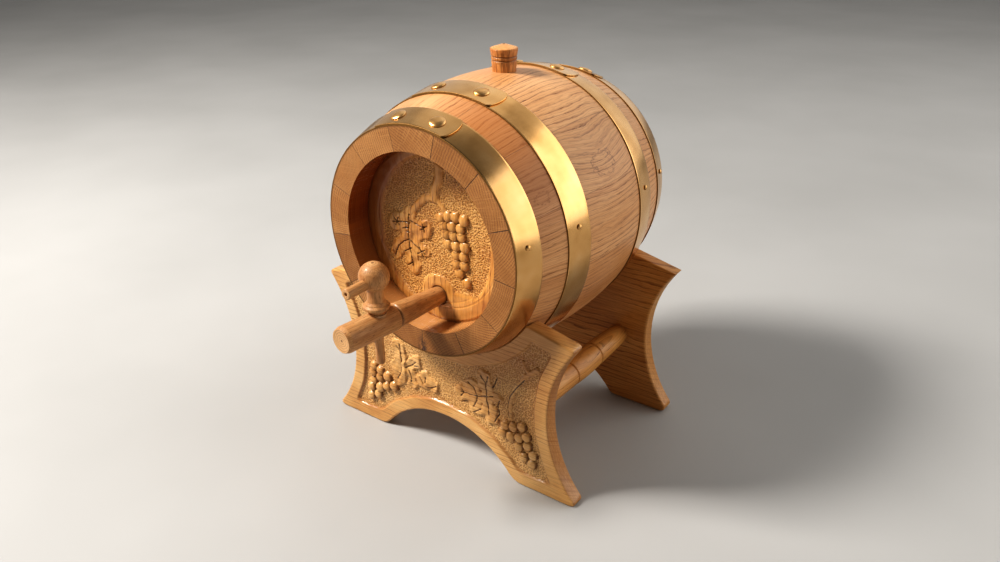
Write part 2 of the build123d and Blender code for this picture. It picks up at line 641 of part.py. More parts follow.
for side, x in (("right", STRETCHER_X), ("left", -STRETCHER_X)):
    start = RIM_Y + PANEL_STATION + PANEL_THICKNESS
    end = RIM_Y + REAR_PANEL_STATION
    groove_1, groove_2 = (start + station for station in STRETCHER_GROOVES)
    r_front, r_shoulder, r_middle, r_shoulder_2, r_rear = STRETCHER_RADII
    with BuildPart() as stretcher:
        with BuildSketch(Plane((x, 0, STRETCHER_HEIGHT))):
            with BuildLine():
                Polyline((r_front, start), (TENON_RADIUS, start), (TENON_RADIUS, start - TENON_LENGTH))
                Polyline((TENON_RADIUS, start - TENON_LENGTH), (0, start - TENON_LENGTH))
                Line((0, start - TENON_LENGTH), (0, end + TENON_LENGTH))
                Polyline((0, end + TENON_LENGTH), (TENON_RADIUS, end + TENON_LENGTH))
                Polyline((TENON_RADIUS, end + TENON_LENGTH), (TENON_RADIUS, end), (r_rear, end))
                ThreePointArc(
                    (r_rear, end),
                    ((r_rear + r_shoulder_2) / 2 + 0.4, (end + groove_2) / 2),
                    (r_shoulder_2, groove_2 + GROOVE_HALF),
                )
                Polyline(
                    (r_shoulder_2, groove_2 + GROOVE_HALF),
                    (r_shoulder_2 - GROOVE_DEPTH, groove_2),
                    (r_shoulder_2, groove_2 - GROOVE_HALF),
                )
                ThreePointArc(
                    (r_shoulder_2, groove_2 - GROOVE_HALF),
                    (r_middle, (groove_1 + groove_2) / 2),
                    (r_shoulder, groove_1 + GROOVE_HALF),
                )
                Polyline(
                    (r_shoulder, groove_1 + GROOVE_HALF),
                    (r_shoulder - GROOVE_DEPTH, groove_1),
                    (r_shoulder, groove_1 - GROOVE_HALF),
                )
                ThreePointArc(
                    (r_shoulder, groove_1 - GROOVE_HALF),
                    ((r_front + r_shoulder) / 2 + 0.2, (start + groove_1) / 2),
                    (r_front, start),
                )
            make_face()
        revolve(axis=Axis((x, 0, STRETCHER_HEIGHT), (0, 1, 0)))
    save(stretcher, f"stretcher_{side}")
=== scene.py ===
import json
import math

import bmesh
import bpy
import numpy as np
from mathutils import Matrix, Vector


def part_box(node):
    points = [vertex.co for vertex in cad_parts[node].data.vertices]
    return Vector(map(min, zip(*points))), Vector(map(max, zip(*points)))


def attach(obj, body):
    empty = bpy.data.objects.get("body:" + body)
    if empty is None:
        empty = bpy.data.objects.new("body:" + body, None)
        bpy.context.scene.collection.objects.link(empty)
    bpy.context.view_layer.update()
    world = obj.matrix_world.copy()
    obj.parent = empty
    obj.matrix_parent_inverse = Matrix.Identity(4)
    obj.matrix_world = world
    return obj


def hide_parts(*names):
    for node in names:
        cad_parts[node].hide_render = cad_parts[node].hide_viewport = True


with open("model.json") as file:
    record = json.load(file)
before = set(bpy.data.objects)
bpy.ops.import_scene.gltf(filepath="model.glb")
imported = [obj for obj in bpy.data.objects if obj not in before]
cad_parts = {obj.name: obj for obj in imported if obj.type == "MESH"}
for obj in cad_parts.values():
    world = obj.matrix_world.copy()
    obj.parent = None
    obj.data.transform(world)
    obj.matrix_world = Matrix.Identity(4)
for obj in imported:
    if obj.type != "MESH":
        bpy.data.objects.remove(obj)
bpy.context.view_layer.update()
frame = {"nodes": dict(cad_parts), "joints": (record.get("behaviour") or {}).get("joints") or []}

MM = 0.001
UP = (0, 0, 1)

# ---- Places read from the CAD model, in metres ----
JOINTS = {j["name"]: j for j in frame["joints"]}
RIM_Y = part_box("stave_01")[0].y
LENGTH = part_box("stave_01")[1].y - RIM_Y
PANEL_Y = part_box("stand_front_panel")[0].y
PANEL_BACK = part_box("stand_front_panel")[1].y
KEY = Vector(JOINTS["key_turn"]["pos_m"])
OUT = Vector(JOINTS["tap_pull"]["axis"]).normalized()
HEAD_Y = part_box("front_head")[0].y
HEAD_DEPTH = 0.0138
TAP = KEY - OUT * ((KEY.y - HEAD_Y) / OUT.y)  # where the tap's axis meets the head's face

# ---- Sizes of the barrel, in millimetres and degrees ----
AXIS = 224.0  # height of the barrel's axis
BELLY, END = 121.5, 100.0  # outer radius at the middle and at the rims
HALF = LENGTH / MM / 2
ARC = (HALF**2 + (BELLY - END) ** 2) / (2 * (BELLY - END))  # radius of the bulge along the barrel
CHIME = 79.1  # radius inside the rims
STAVE_TURN = 360 / 13
FIRST_JOINT = 90 - STAVE_TURN / 2
BUNG_STATION = 125
TAP_R = 8.15  # radius of the tap's hole in the head
HOOPS = {  # stations of each hoop's two edges, behind the front rim
    "front_chime": (0.0, 24.0),
    "front_bilge": (52.0, 79.0),
    "rear_bilge": (164.0, 191.0),
    "rear_chime": (219.0, 243.0),
}
HOOP_TOP = 1.0  # height of a hoop's outside over the staves
LAP_FROM, LAP_TO = 72, 112
RIVET_ANGLES = (80.0, 102.0)
NAIL_ANGLES = (10.5, 169.5)

# ---- Outline of the front panel, in millimetres: hollow sides, an arch between the feet, sloping ears ----
SIDE_R, WAIST_HALF, WAIST_Z = 117.2, 113.6, 81.0
ARCH_R, ARCH_TOP = 93.6, 41.0
EAR_SLOPE = 0.22
EAR_PEAK = 165.8 + EAR_SLOPE * 94.3
SEAT_GAP = 0.4


def shell(station, proud=0.0):
    """Radius of the barrel's bulged outside at a station, in mm."""
    return np.sqrt((ARC + proud) ** 2 - (station - HALF) ** 2) - ARC + BELLY


SEAT_FRONT = float(shell((PANEL_Y - RIM_Y) / MM)) + SEAT_GAP
SEAT_BACK = float(shell((PANEL_BACK - RIM_Y) / MM)) + SEAT_GAP


# ---- Mesh helpers ----
def link(mesh, sharp):
    """Puts a mesh in the scene, smooth except at edges sharper than an angle in degrees."""
    mesh.shade_smooth()
    mesh.set_sharp_from_angle(angle=math.radians(sharp))
    obj = bpy.data.objects.new(mesh.name, mesh)
    bpy.context.scene.collection.objects.link(obj)
    return obj


def make_object(name, vertices, faces, sharp=38.0):
    mesh = bpy.data.meshes.new(name)
    mesh.from_pydata([tuple(v) for v in vertices], [], faces)
    bm = bmesh.new()
    bm.from_mesh(mesh)
    bmesh.ops.remove_doubles(bm, verts=bm.verts, dist=1e-7)
    bmesh.ops.recalc_face_normals(bm, faces=bm.faces)
    bm.to_mesh(mesh)
    bm.free()
    return link(mesh, sharp)


def rounded(corners):
    """Points along a line through corners (x, y, radius), each corner rounded to its radius."""
    points = []
    for i, (x, y, radius) in enumerate(corners):
        here = np.array((x, y), float)
        if radius == 0 or i in (0, len(corners) - 1):
            points.append(here)
            continue
        back = np.array(corners[i - 1][:2]) - here
        ahead = np.array(corners[i + 1][:2]) - here
        len_back, len_ahead = np.linalg.norm(back), np.linalg.norm(ahead)
        cosine = np.clip(back @ ahead / len_back / len_ahead, -0.9999, 0.9999)
        cut = min(radius / math.tan(math.acos(cosine) / 2), 0.49 * len_back, 0.49 * len_ahead)
        start, end = here + back / len_back * cut, here + ahead / len_ahead * cut
        for t in np.linspace(0, 1, 6):
            points.append((1 - t) ** 2 * start + 2 * t * (1 - t) * here + t * t * end)
    return points


def lathe(name, profile, matrix, turns, waver, grooves=()):
    """Turned solid about its own z axis. The profile is (radius, height) in mm.

    The grooves, which are given as (radius, height, reach), are marked for painted shade."""
    phase = np.random.default_rng(len(name) * 7 + 3).uniform(0, 6.28, 2)
    vertices, faces = [], []
    count = len(profile)
    for k in range(turns):
        a = 2 * math.pi * k / turns
        for r, h in profile:
            two_lobes = math.sin(2 * a + phase[0] + h * 0.05)
            three_lobes = math.sin(3 * a + phase[1] + h * 0.11)
            lump = 1 + waver * (two_lobes + 0.6 * three_lobes)
            vertices.append((r * lump * math.cos(a) * MM, r * lump * math.sin(a) * MM, h * MM))
    for k in range(turns):
        n = (k + 1) % turns
        for i in range(count - 1):
            faces.append((k * count + i, n * count + i, n * count + i + 1, k * count + i + 1))
    obj = make_object(name, vertices, faces)
    groove_shade = obj.data.attributes.new("groove", "FLOAT", "POINT")
    for v in obj.data.vertices:
        r, h = math.hypot(v.co.x, v.co.y) / MM, v.co.z / MM
        near = [math.hypot(r - gr, h - gh) / reach for gr, gh, reach in grooves]
        groove_shade.data[v.index].value = max([0, *(1 - min(1, d) for d in near)])
    obj.matrix_world = matrix
    return obj


def place(point, z_axis, x_hint=(1, 0, 0)):
    """Matrix that puts an object's origin at a point with its z axis along a direction."""
    z = Vector(z_axis).normalized()
    y = z.cross(Vector(x_hint)).normalized()
    x = y.cross(z)
    m = Matrix((x, y, z)).transposed().to_4x4()
    m.translation = Vector(point)
    return m


def around(radius, station, angle):
    """Point at a radius, station and angle (degrees) of the barrel, in metres."""
    a = math.radians(angle)
    return (radius * math.cos(a) * MM, RIM_Y + station * MM, (AXIS + radius * math.sin(a)) * MM)


def on_shell(station, angle, proud):
    """Matrix of a piece that stands square on the barrel's outside, lifted by proud mm."""
    a = math.radians(angle)
    lean = math.asin((station - HALF) / ARC)
    normal = Vector((math.cos(a) * math.cos(lean), math.sin(lean), math.sin(a) * math.cos(lean)))
    foot = Vector(around(float(shell(station)), station, angle)) + normal * proud * MM
    return place(foot, normal, (0, 1, 0))


# ---- Carved sheets: a fine grid over (x, z) ----
SHEET_SHARP = 50.0


def cut_grid(low, high, cell, outline):
    """Points and faces of a grid, kept where outline() is negative and cut where it is zero."""
    nx = int(math.ceil((high[0] - low[0]) / cell)) + 1
    nz = int(math.ceil((high[1] - low[1]) / cell)) + 1
    x, z = np.meshgrid(low[0] + cell * np.arange(nx), low[1] + cell * np.arange(nz), indexing="ij")
    d = outline(x, z)
    d[np.abs(d) < 1e-6] = 1e-6
    inside = d < 0
    index = np.full(d.shape, -1)
    index[inside] = np.arange(inside.sum())
    points = list(zip(x[inside], z[inside]))
    crossings, faces = {}, []

    def crossing(a, b):
        key = (min(a, b), max(a, b))
        if key not in crossings:
            t = d[a] / (d[a] - d[b])
            crossings[key] = len(points)
            points.append((x[a] + t * (x[b] - x[a]), z[a] + t * (z[b] - z[a])))
        return crossings[key]

    for i in range(nx - 1):
        for j in range(nz - 1):
            corners = ((i, j), (i + 1, j), (i + 1, j + 1), (i, j + 1))
            state = [inside[c] for c in corners]
            if all(state):
                faces.append([int(index[c]) for c in corners])
            elif any(state):
                face = []
                for a in range(4):
                    here, after = corners[a], corners[(a + 1) % 4]
                    if state[a]:
                        face.append(int(index[here]))
                    if state[a] != state[(a + 1) % 4]:
                        face.append(crossing(here, after))
                faces.append(face)
    return np.array(points), faces


def to_line(x, z, line):
    """Distance from each point to a line of points."""
    best = np.full(x.shape, 1e9)
    for (ax, az), (bx, bz) in zip(line[:-1], line[1:]):
        dx, dz = bx - ax, bz - az
        t = np.clip(((x - ax) * dx + (z - az) * dz) / (dx * dx + dz * dz + 1e-9), 0, 1)
        best = np.minimum(best, np.hypot(x - ax - t * dx, z - az - t * dz))
    return best


def ease(value, low, high):
    """Smooth step from 0 at low to 1 at high."""
    t = np.clip((value - low) / (high - low), 0, 1)
    return t * t * (3 - 2 * t)


def waves(x, z, size, seed):
    """Smooth hand-cut unevenness between about -1 and 1."""
    rng = np.random.default_rng(seed)
    total = np.zeros(x.shape)
    for _ in range(7):
        a, p = rng.uniform(0, 2 * math.pi, 2)
        k = 2 * math.pi / (size * rng.uniform(0.7, 1.6))
        total += np.sin(k * (x * math.cos(a) + z * math.sin(a)) + p)
    return total / 3.2


def hump(distance, half_width):
    """Half circle across a line: 1 on it, 0 at its half width."""
    return np.sqrt(np.clip(1 - (distance / half_width) ** 2, 0, 1))


def punch(x, z, pitch, seed):
    """How deep each point lies in the nearest of many punch marks, from 0 to 1."""
    rng = np.random.default_rng(seed)
    jitter = rng.uniform(0.12, 0.88, (2, 97, 97))
    column, row = np.floor(x / pitch).astype(int), np.floor(z / pitch).astype(int)
    best = np.full(x.shape, 9.0)
    for i in (-1, 0, 1):
        for j in (-1, 0, 1):
            dx, dz = jitter[:, (column + i) % 97, (row + j) % 97]
            best = np.minimum(best, np.hypot(x / pitch - column - i - dx, z / pitch - row - j - dz))
    return 1 - ease(best, 0.08, 0.56)


def carve(x, z, floor, art):
    """Height and masks of the carved art on a recessed ground at height floor; one mask is painted shadow."""
    height = np.full(x.shape, floor)
    ground = np.ones(x.shape)
    painted_shadow = np.zeros(x.shape)
    for leaf in art["leaves"]:
        d = np.minimum.reduce([to_line(x, z, line) - reach for line, reach in leaf])
        d += waves(x, z, 11, 5) * 1.5
        mask = ease(-d, -0.9, 1.3)
        swell = art["leaf_rise"] + 0.45 * waves(x, z, 13, 9) + 0.25 * waves(x, z, 6, 10)
        height += mask * swell
        ground = np.minimum(ground, 1 - mask)
    for line, half_width, rise in art["branches"]:
        d = to_line(x, z, line) + waves(x, z, 9, 3) * 0.6
        ridge = hump(d, half_width) * rise
        height = np.maximum(height, floor + ridge)
        ground = np.minimum(ground, 1 - ease(half_width - d, -0.3, 0.8))
    for gx, gz, radius in art["grapes"]:
        d = np.hypot(x - gx, z - gz)
        height = np.maximum(height, floor + art["grape_rise"] * hump(d, radius) ** 0.8)
        ground = np.minimum(ground, 1 - ease(radius - d, -0.2, 0.5))
        # painted shadow: a dark ring round each grape, heavier on its lower right
        rim = ease(d, radius - 1.3, radius) * (1 - ease(d, radius, radius + 1.1))
        painted_shadow = np.maximum(painted_shadow, rim * (0.16 + 0.34 * ease(x - gx - z + gz, -2, 4)))
    for line in art["veins"]:
        d = to_line(x, z, line) + 0.2 * waves(x, z, 3, 12)
        height -= 0.8 * (1 - ease(d, 0.1, 0.9))
        # painted shade darkens the vein grooves
        painted_shadow = np.maximum(painted_shadow, 0.95 * (1 - ease(d, 0.15, 0.72)))
    return height, ground, painted_shadow


def relief(name, points, faces, height, y_face, masks, move=None, steps=0):
    """Sheet facing the front, with its height in mm and its masks as vertex attributes.

    Its free edges are carried back in steps, and move(point, step) gives each new place."""
    vertices = [(px * MM, y_face - h * MM, pz * MM) for (px, pz), h in zip(points, height)]
    mesh = bpy.data.meshes.new(name)
    mesh.from_pydata(vertices, [], faces)
    for key, values in zip(("ground", "pit", "painted_shadow", "painted_shade"), masks):
        attribute = mesh.attributes.new(key, "FLOAT", "POINT")
        attribute.data.foreach_set("value", np.asarray(values, np.float32))
    if steps:
        add_walls(mesh, move, steps)
    return link(mesh, SHEET_SHARP)


def add_walls(mesh, move, steps):
    bm = bmesh.new()
    bm.from_mesh(mesh)
    edges = [e for e in bm.edges if e.is_boundary]
    for step in range(steps):
        made = bmesh.ops.extrude_edge_only(bm, edges=edges)["geom"]
        fresh = {g for g in made if isinstance(g, bmesh.types.BMVert)}
        for v in fresh:
            v.co = move(v.co.copy(), step)
        edges = [g for g in made if isinstance(g, bmesh.types.BMEdge)]
        edges = [e for e in edges if e.is_boundary and fresh.issuperset(e.verts)]
    bmesh.ops.recalc_face_normals(bm, faces=bm.faces)
    bm.to_mesh(mesh)
    bm.free()


# ---- Materials ----
class Value:
    """A node's number output, usable in ordinary arithmetic."""

    def __init__(self, shader, socket):
        self.shader = shader
        self.socket = socket

    def __abs__(self):
        return self.shader.math("ABSOLUTE", self)

    def __add__(self, other):
        return self.shader.math("ADD", self, other)

    def __sub__(self, other):
        return self.shader.math("SUBTRACT", self, other)

    def __rsub__(self, other):
        return self.shader.math("SUBTRACT", other, self)

    def __mul__(self, other):
        return self.shader.math("MULTIPLY", self, other)

    def __truediv__(self, other):
        return self.shader.math("DIVIDE", self, other)

    __radd__ = __add__
    __rmul__ = __mul__


class Shader:
    """Short calls that wire up one material or world."""

    def __init__(self, name, world=None):
        self.owner = world or bpy.data.materials.new(name)
        self.owner.use_nodes = True
        self.tree = self.owner.node_tree
        self.last = next(n for n in self.tree.nodes if n.type in ("BSDF_PRINCIPLED", "BACKGROUND"))
        coordinates = self.node("TexCoord")
        self.place = coordinates.outputs["Object"]
        self.normal = coordinates.outputs["Normal"]

    def node(self, kind, **inputs):
        node = self.tree.nodes.new("ShaderNode" + kind)
        self.fill(node, inputs)
        return node

    def fill(self, node, inputs):
        for name, value in inputs.items():
            self.put(node.inputs[name.replace("_", " ")], value)

    def put(self, socket, value):
        if isinstance(value, Value):
            value = value.socket
        if isinstance(value, bpy.types.NodeSocket):
            self.tree.links.new(value, socket)
        elif socket.type == "RGBA":
            socket.default_value = (*value, 1)
        else:
            socket.default_value = value

    def math(self, operation, a, b=0.0):
        node = self.node("Math")
        node.operation = operation
        self.put(node.inputs[0], a)
        self.put(node.inputs[1], b)
        return Value(self, node.outputs[0])

    def length(self, a, b):
        return self.math("SQRT", a * a + b * b)

    def split(self, socket):
        node = self.node("SeparateXYZ")
        self.put(node.inputs[0], socket)
        return [Value(self, o) for o in node.outputs]

    def join(self, x, y, z):
        node = self.node("CombineXYZ")
        for socket, value in zip(node.inputs, (x, y, z)):
            self.put(socket, value)
        return node.outputs[0]

    def noise(self, place, detail=2.0, roughness=0.5):
        node = self.node("TexNoise", Vector=self.join(*place), Scale=1.0, Detail=detail, Roughness=roughness)
        return Value(self, node.outputs[0])

    def random(self, number):
        node = self.node("TexWhiteNoise")
        node.noise_dimensions = "1D"
        self.put(node.inputs["W"], number)
        return Value(self, node.outputs["Value"])

    def smooth(self, value, low, high, start=0.0, end=1.0, kind="SMOOTHSTEP"):
        """Smooth step from start at low to end at high, which may be the smaller number."""
        node = self.node("MapRange", Value=value, From_Min=low, From_Max=high, To_Min=start, To_Max=end)
        node.interpolation_type = kind
        return Value(self, node.outputs["Result"])

    def mix(self, factor, a, b):
        """Colour a, turning to b as the factor rises from 0 to 1."""
        node = self.node("Mix")
        node.data_type = "RGBA"
        self.put(node.inputs[0], factor)
        self.put(node.inputs[6], a)
        self.put(node.inputs[7], b)
        return node.outputs[2]

    def ramp(self, value, stops):
        node = self.node("ValToRGB")
        self.put(node.inputs[0], value)
        elements = node.color_ramp.elements
        while len(elements) < len(stops):
            elements.new(0.5)
        for element, (position, colour) in zip(elements, stops):
            element.position = position
            element.color = (*colour, 1)
        return node.outputs[0]

    def attribute(self, name):
        node = self.node("Attribute")
        node.attribute_name = name
        return Value(self, node.outputs["Fac"])

    def bump(self, height, distance, strength=1.0, base=None):
        node = self.node("Bump", Strength=strength, Distance=distance, Height=height)
        if base is not None:
            self.put(node.inputs["Normal"], base)
        return node.outputs[0]

    def end(self, **inputs):
        self.fill(self.last, inputs)
        return self.owner


def scaled(colour, factor):
    return tuple(min(1, c * factor) for c in colour)


def oak_grain(s, across, along, seed, spacing, wander):
    """Growth lines, pores and fibres of a sawn oak face. Lengths in metres.

    Lines lie a spacing apart across the grain, and stray sideways by up to wander times that."""
    slow = s.noise((across * 14 + seed * 5, along * 2.2, seed * 9.7), 2, 0.45)
    small = s.noise((across * 70, along * 14 + seed * 3, seed * 4.1), 3, 0.6)
    strength = s.smooth(s.noise((across * 45 + seed, along * 6, seed * 2.3), 3, 0.6), 0.32, 0.58)
    phase = across / spacing + slow * wander + small * 1.9
    dash = s.smooth(s.noise((across * 1100, along * 120, seed * 17), 2, 0.6), 0.38, 0.56)
    broad = s.smooth(s.math("FRACT", phase), 0.36, 0.0) * (0.12 + strength * 0.88)
    narrow = s.smooth(s.math("FRACT", phase * 2.63 + small), 0.5, 0.0) * 0.38
    line = s.math("MAXIMUM", broad, narrow) * (0.52 + dash * 0.48)
    pores = s.smooth(s.noise((across * 1500, along * 110, seed * 31), 2, 0.6), 0.57, 0.66)
    fibre = s.noise((across * 760, along * 20, seed * 13), 3, 0.7)
    return line, pores * (0.15 + broad * 0.85), fibre


STAVE_R = 0.113  # mean outer radius of the staves, in metres
KNOTS = ((29, 0.118, 1.0), (27, 0.037, 0.5))  # angle in degrees, station in metres, size
RIGHT_CRACK = FIRST_JOINT - 2 * STAVE_TURN  # the stave joint on the right that has opened
BOTTOM_JOINT = -90


def knot(s, du, dy, size):
    """Ragged ring of a knot, and how strongly it pushes the grain aside, at an offset from its centre."""
    away = s.length(du, dy) / size
    wave = s.noise((du * 190 / size, dy * 190 / size, 2.0 * size), 3, 0.6)
    scratch = s.smooth(s.noise((du * 260 / size, dy * 260 / size, 6.0 * size), 3, 0.65), 0.40, 0.58)
    ragged = s.noise((du * 700, dy * 500, 8.0), 3, 0.7)
    edge = away + wave * 0.014 + ragged * 0.005
    outer = s.smooth(abs(edge - 0.0190), 0.0013 / size, 0.0001) * (0.15 + scratch * 0.85)
    inner = s.smooth(abs(edge - 0.0150), 0.0008 / size, 0.0) * (1 - scratch) * 0.35
    return s.math("MAXIMUM", outer, inner), s.smooth(away, 0.05, 0.0) * size


def stave_face(s, turn, station, seed, seed_2):
    """Long face of a stave, with two knots on the right side: colour, growth lines, pores, fibres, tone."""
    girth = turn * (math.pi / 180 * STAVE_R)
    knot_line, pull = 0.0, 0.0
    for angle, at, size in KNOTS:
        ring, push = knot(s, girth - math.radians(angle) * STAVE_R, (station - at) * 0.62, size)
        knot_line, pull = s.math("MAXIMUM", knot_line, ring), pull + push
    across = girth + pull * 0.013 + seed * 0.4
    line, pores, fibre = oak_grain(s, across, station + seed_2, seed, 0.0050, 6.5)
    tone = s.noise((girth * 30, station * 7, seed * 8), 2, 0.5)
    colour = s.ramp(tone * 0.42 + seed_2 * 0.25 + fibre * 0.42, [
        (0.28, (0.38, 0.155, 0.046)), (0.5, (0.60, 0.305, 0.125)), (0.74, (0.76, 0.45, 0.225))])
    colour = s.mix(line * 0.8, colour, (0.23, 0.078, 0.02))
    colour = s.mix(pores * 0.85, colour, (0.12, 0.038, 0.012))
    colour = s.mix(knot_line * 0.6, colour, (0.16, 0.055, 0.018))
    amber = s.smooth(station, 0.075, 0.045) * s.smooth(abs(turn - 52), 45, 18)
    colour = s.mix(amber * 0.62, colour, (0.43, 0.145, 0.028))
    return colour, line, pores, fibre, tone


def stave_end(s, x, z, radius, share, seed, seed_2):
    """End grain on the rims, arcs of growth rings and thin rays across them: colour and height."""
    local = (share - 0.5) * math.radians(STAVE_TURN)
    bearing = seed * 4.6 + 0.4
    reach = 0.045 + seed_2 * 0.08
    heart = radius * s.math("COSINE", local) - 0.09 - reach * s.math("COSINE", bearing)
    heart_side = radius * s.math("SINE", local) - reach * s.math("SINE", bearing)
    rho = s.length(heart, heart_side)
    ring_wave = s.noise((x * 90, z * 90, seed * 6), 2, 0.5)
    ring = s.smooth(s.math("FRACT", rho / (0.0016 + seed_2 * 0.0011) + ring_wave * 1.4), 0.55, 0.0)
    direction = s.math("ARCTAN2", heart_side, heart)
    rays = s.smooth(s.noise((direction * 130, rho * 30, seed), 4, 0.8), 0.53, 0.66)
    speck = s.smooth(s.noise((x * 1700, 0.0, z * 1700), 2, 0.6), 0.44, 0.62)
    ring_strength = s.smooth(s.noise((x * 60, 3.0, z * 60), 2, 0.5), 0.3, 0.62)
    colour = s.ramp(s.noise((x * 40, 1.0, z * 40), 3) * 0.6 + seed * 0.4, [
        (0.3, (0.35, 0.155, 0.045)), (0.55, (0.47, 0.225, 0.075)), (0.8, (0.56, 0.30, 0.115))])
    colour = s.mix(ring * (0.45 + speck * 0.5) * (0.4 + ring_strength * 0.6), colour, (0.12, 0.038, 0.009))
    colour = s.mix(rays * 0.6, colour, (0.64, 0.355, 0.13))
    colour = s.mix(speck * 0.28, colour, (0.14, 0.045, 0.01))
    return colour, 0.5 - ring * 0.3 - speck * 0.35 + rays * 0.3


def stave_oak():
    s = Shader("stave_oak_shader")
    x, y, z = s.split(s.place)
    up = z - AXIS * MM
    turn = s.math("ARCTAN2", up, x) * (180 / math.pi)
    radius = s.length(x, up)
    station = y - RIM_Y
    staves = (turn + (720 - FIRST_JOINT)) / STAVE_TURN
    index = s.math("FLOOR", staves)
    share = staves - index
    seed, seed_2 = s.random(index + 0.5), s.random(index + 40.5)
    on_rim = s.smooth(abs(s.split(s.normal)[1]), 0.8, 0.9)
    face, line, pores, fibre, tone = stave_face(s, turn, station, seed, seed_2)
    rim, rim_height = stave_end(s, x, z, radius, share, seed, seed_2)
    colour = s.mix(on_rim, face, rim)

    # joints between staves, open in places, and the stain at the bottom one
    near = abs(share - s.math("ROUND", share)) * math.radians(STAVE_TURN) * radius
    joint_id = s.math("ROUND", staves)
    crack = s.random(joint_id + 7.5)
    jag = s.noise((radius * 700, station * 40, joint_id * 3.3), 2, 0.6)
    seam = s.smooth(near + (jag - 0.5) * 0.0007, 0.00042, 0.0001)
    right_crack = s.smooth(abs(turn - RIGHT_CRACK), 3.0, 1.0) * s.smooth(radius, 0.082, 0.092)
    seam = seam * (crack * 0.3 + 0.1 + (crack * 0.2 + 0.3 + right_crack * 0.9) * on_rim)
    stain = s.smooth(abs(turn - BOTTOM_JOINT), 4.5, 0.5) * s.smooth(radius, 0.078, 0.1)
    stain = stain * s.smooth(s.noise((x * 260, 0.0, z * 160), 3, 0.6), 0.40, 0.56) * on_rim
    # painted shade along the rim's outer edge, where it meets the hoop
    edge_dark = s.smooth(radius, 0.0988, 0.1003) * on_rim
    colour = s.mix(seam, colour, (0.035, 0.014, 0.006))
    colour = s.mix(stain * 0.9, colour, (0.03, 0.016, 0.018))
    colour = s.mix(edge_dark * 0.65, colour, (0.10, 0.04, 0.015))

    # the turned wall between rim and head is redder and lacquered, and darker, partly as painted shade of the
    # recess
    wall = s.smooth(radius, 0.0800, 0.0796) * (1 - on_rim)
    lathe_mark = s.noise((station * 900, turn * 0.02, 0.0), 2, 0.5)
    wall_colour = s.ramp(lathe_mark * 0.4 + tone * 0.6, [
        (0.3, (0.20, 0.045, 0.007)), (0.7, (0.42, 0.13, 0.024))])
    # painted highlight: the wall turns paler towards the bottom
    wall_colour = s.mix(s.smooth(up, 0.02, -0.06), wall_colour, (0.52, 0.275, 0.11))
    colour = s.mix(wall, colour, wall_colour)
    height = 0.6 - line * 0.06 - pores * 0.5 + fibre * 0.22
    height = height + on_rim * (rim_height - height) - seam * 2.2
    rough = 0.36 + fibre * 0.16 + pores * 0.2 + on_rim * 0.16 - wall * 0.2
    return s.end(Base_Color=colour, Roughness=rough, Normal=s.bump(height, 0.00022, 0.8),
                 Specular_IOR_Level=0.4, Coat_Weight=0.12, Coat_Roughness=0.25)


def stand_oak(name, along_y):
    """Oiled oak: a board with its grain along x, or a turned rod with its grain along y."""
    s = Shader(name)
    x, y, z = s.split(s.place)
    nx, ny, _ = s.split(s.normal)
    if along_y:
        line, pores, fibre = oak_grain(s, z + x * 0.6 + 0.7, y, 0.53, 0.0036, 2.0)
    else:
        line, pores, fibre = oak_grain(s, z + y * 0.45 + 0.3, x, 0.68, 0.0056, 4.6)
    tone = s.noise((x * 6, y * 20, z * 26), 2, 0.5)
    colour = s.ramp(tone * 0.6 + fibre * 0.4, [
        (0.28, (0.35, 0.135, 0.028)), (0.52, (0.57, 0.28, 0.08)), (0.78, (0.75, 0.45, 0.175))])
    colour = s.mix(line * (0.55 if along_y else 0.85), colour, (0.20, 0.06, 0.01))
    colour = s.mix(pores * 0.8, colour, (0.14, 0.042, 0.008))
    end = s.smooth(abs(ny if along_y else nx), 0.55, 0.85)
    grain_end = s.noise((x * 60, y * 1100, z * 240), 3, 0.65)
    end_colour = s.ramp(grain_end, [(0.35, (0.33, 0.135, 0.032)), (0.65, (0.60, 0.32, 0.105))])
    colour = s.mix(end * 0.6, colour, end_colour)
    bump = s.bump(0.5 - line * 0.1 - pores * 0.5 + fibre * 0.3, 0.0002, 0.8)
    return s.end(Base_Color=colour, Roughness=0.34 + fibre * 0.16 + pores * 0.1, Normal=bump,
                 Specular_IOR_Level=0.4, Coat_Weight=0.15, Coat_Roughness=0.2)


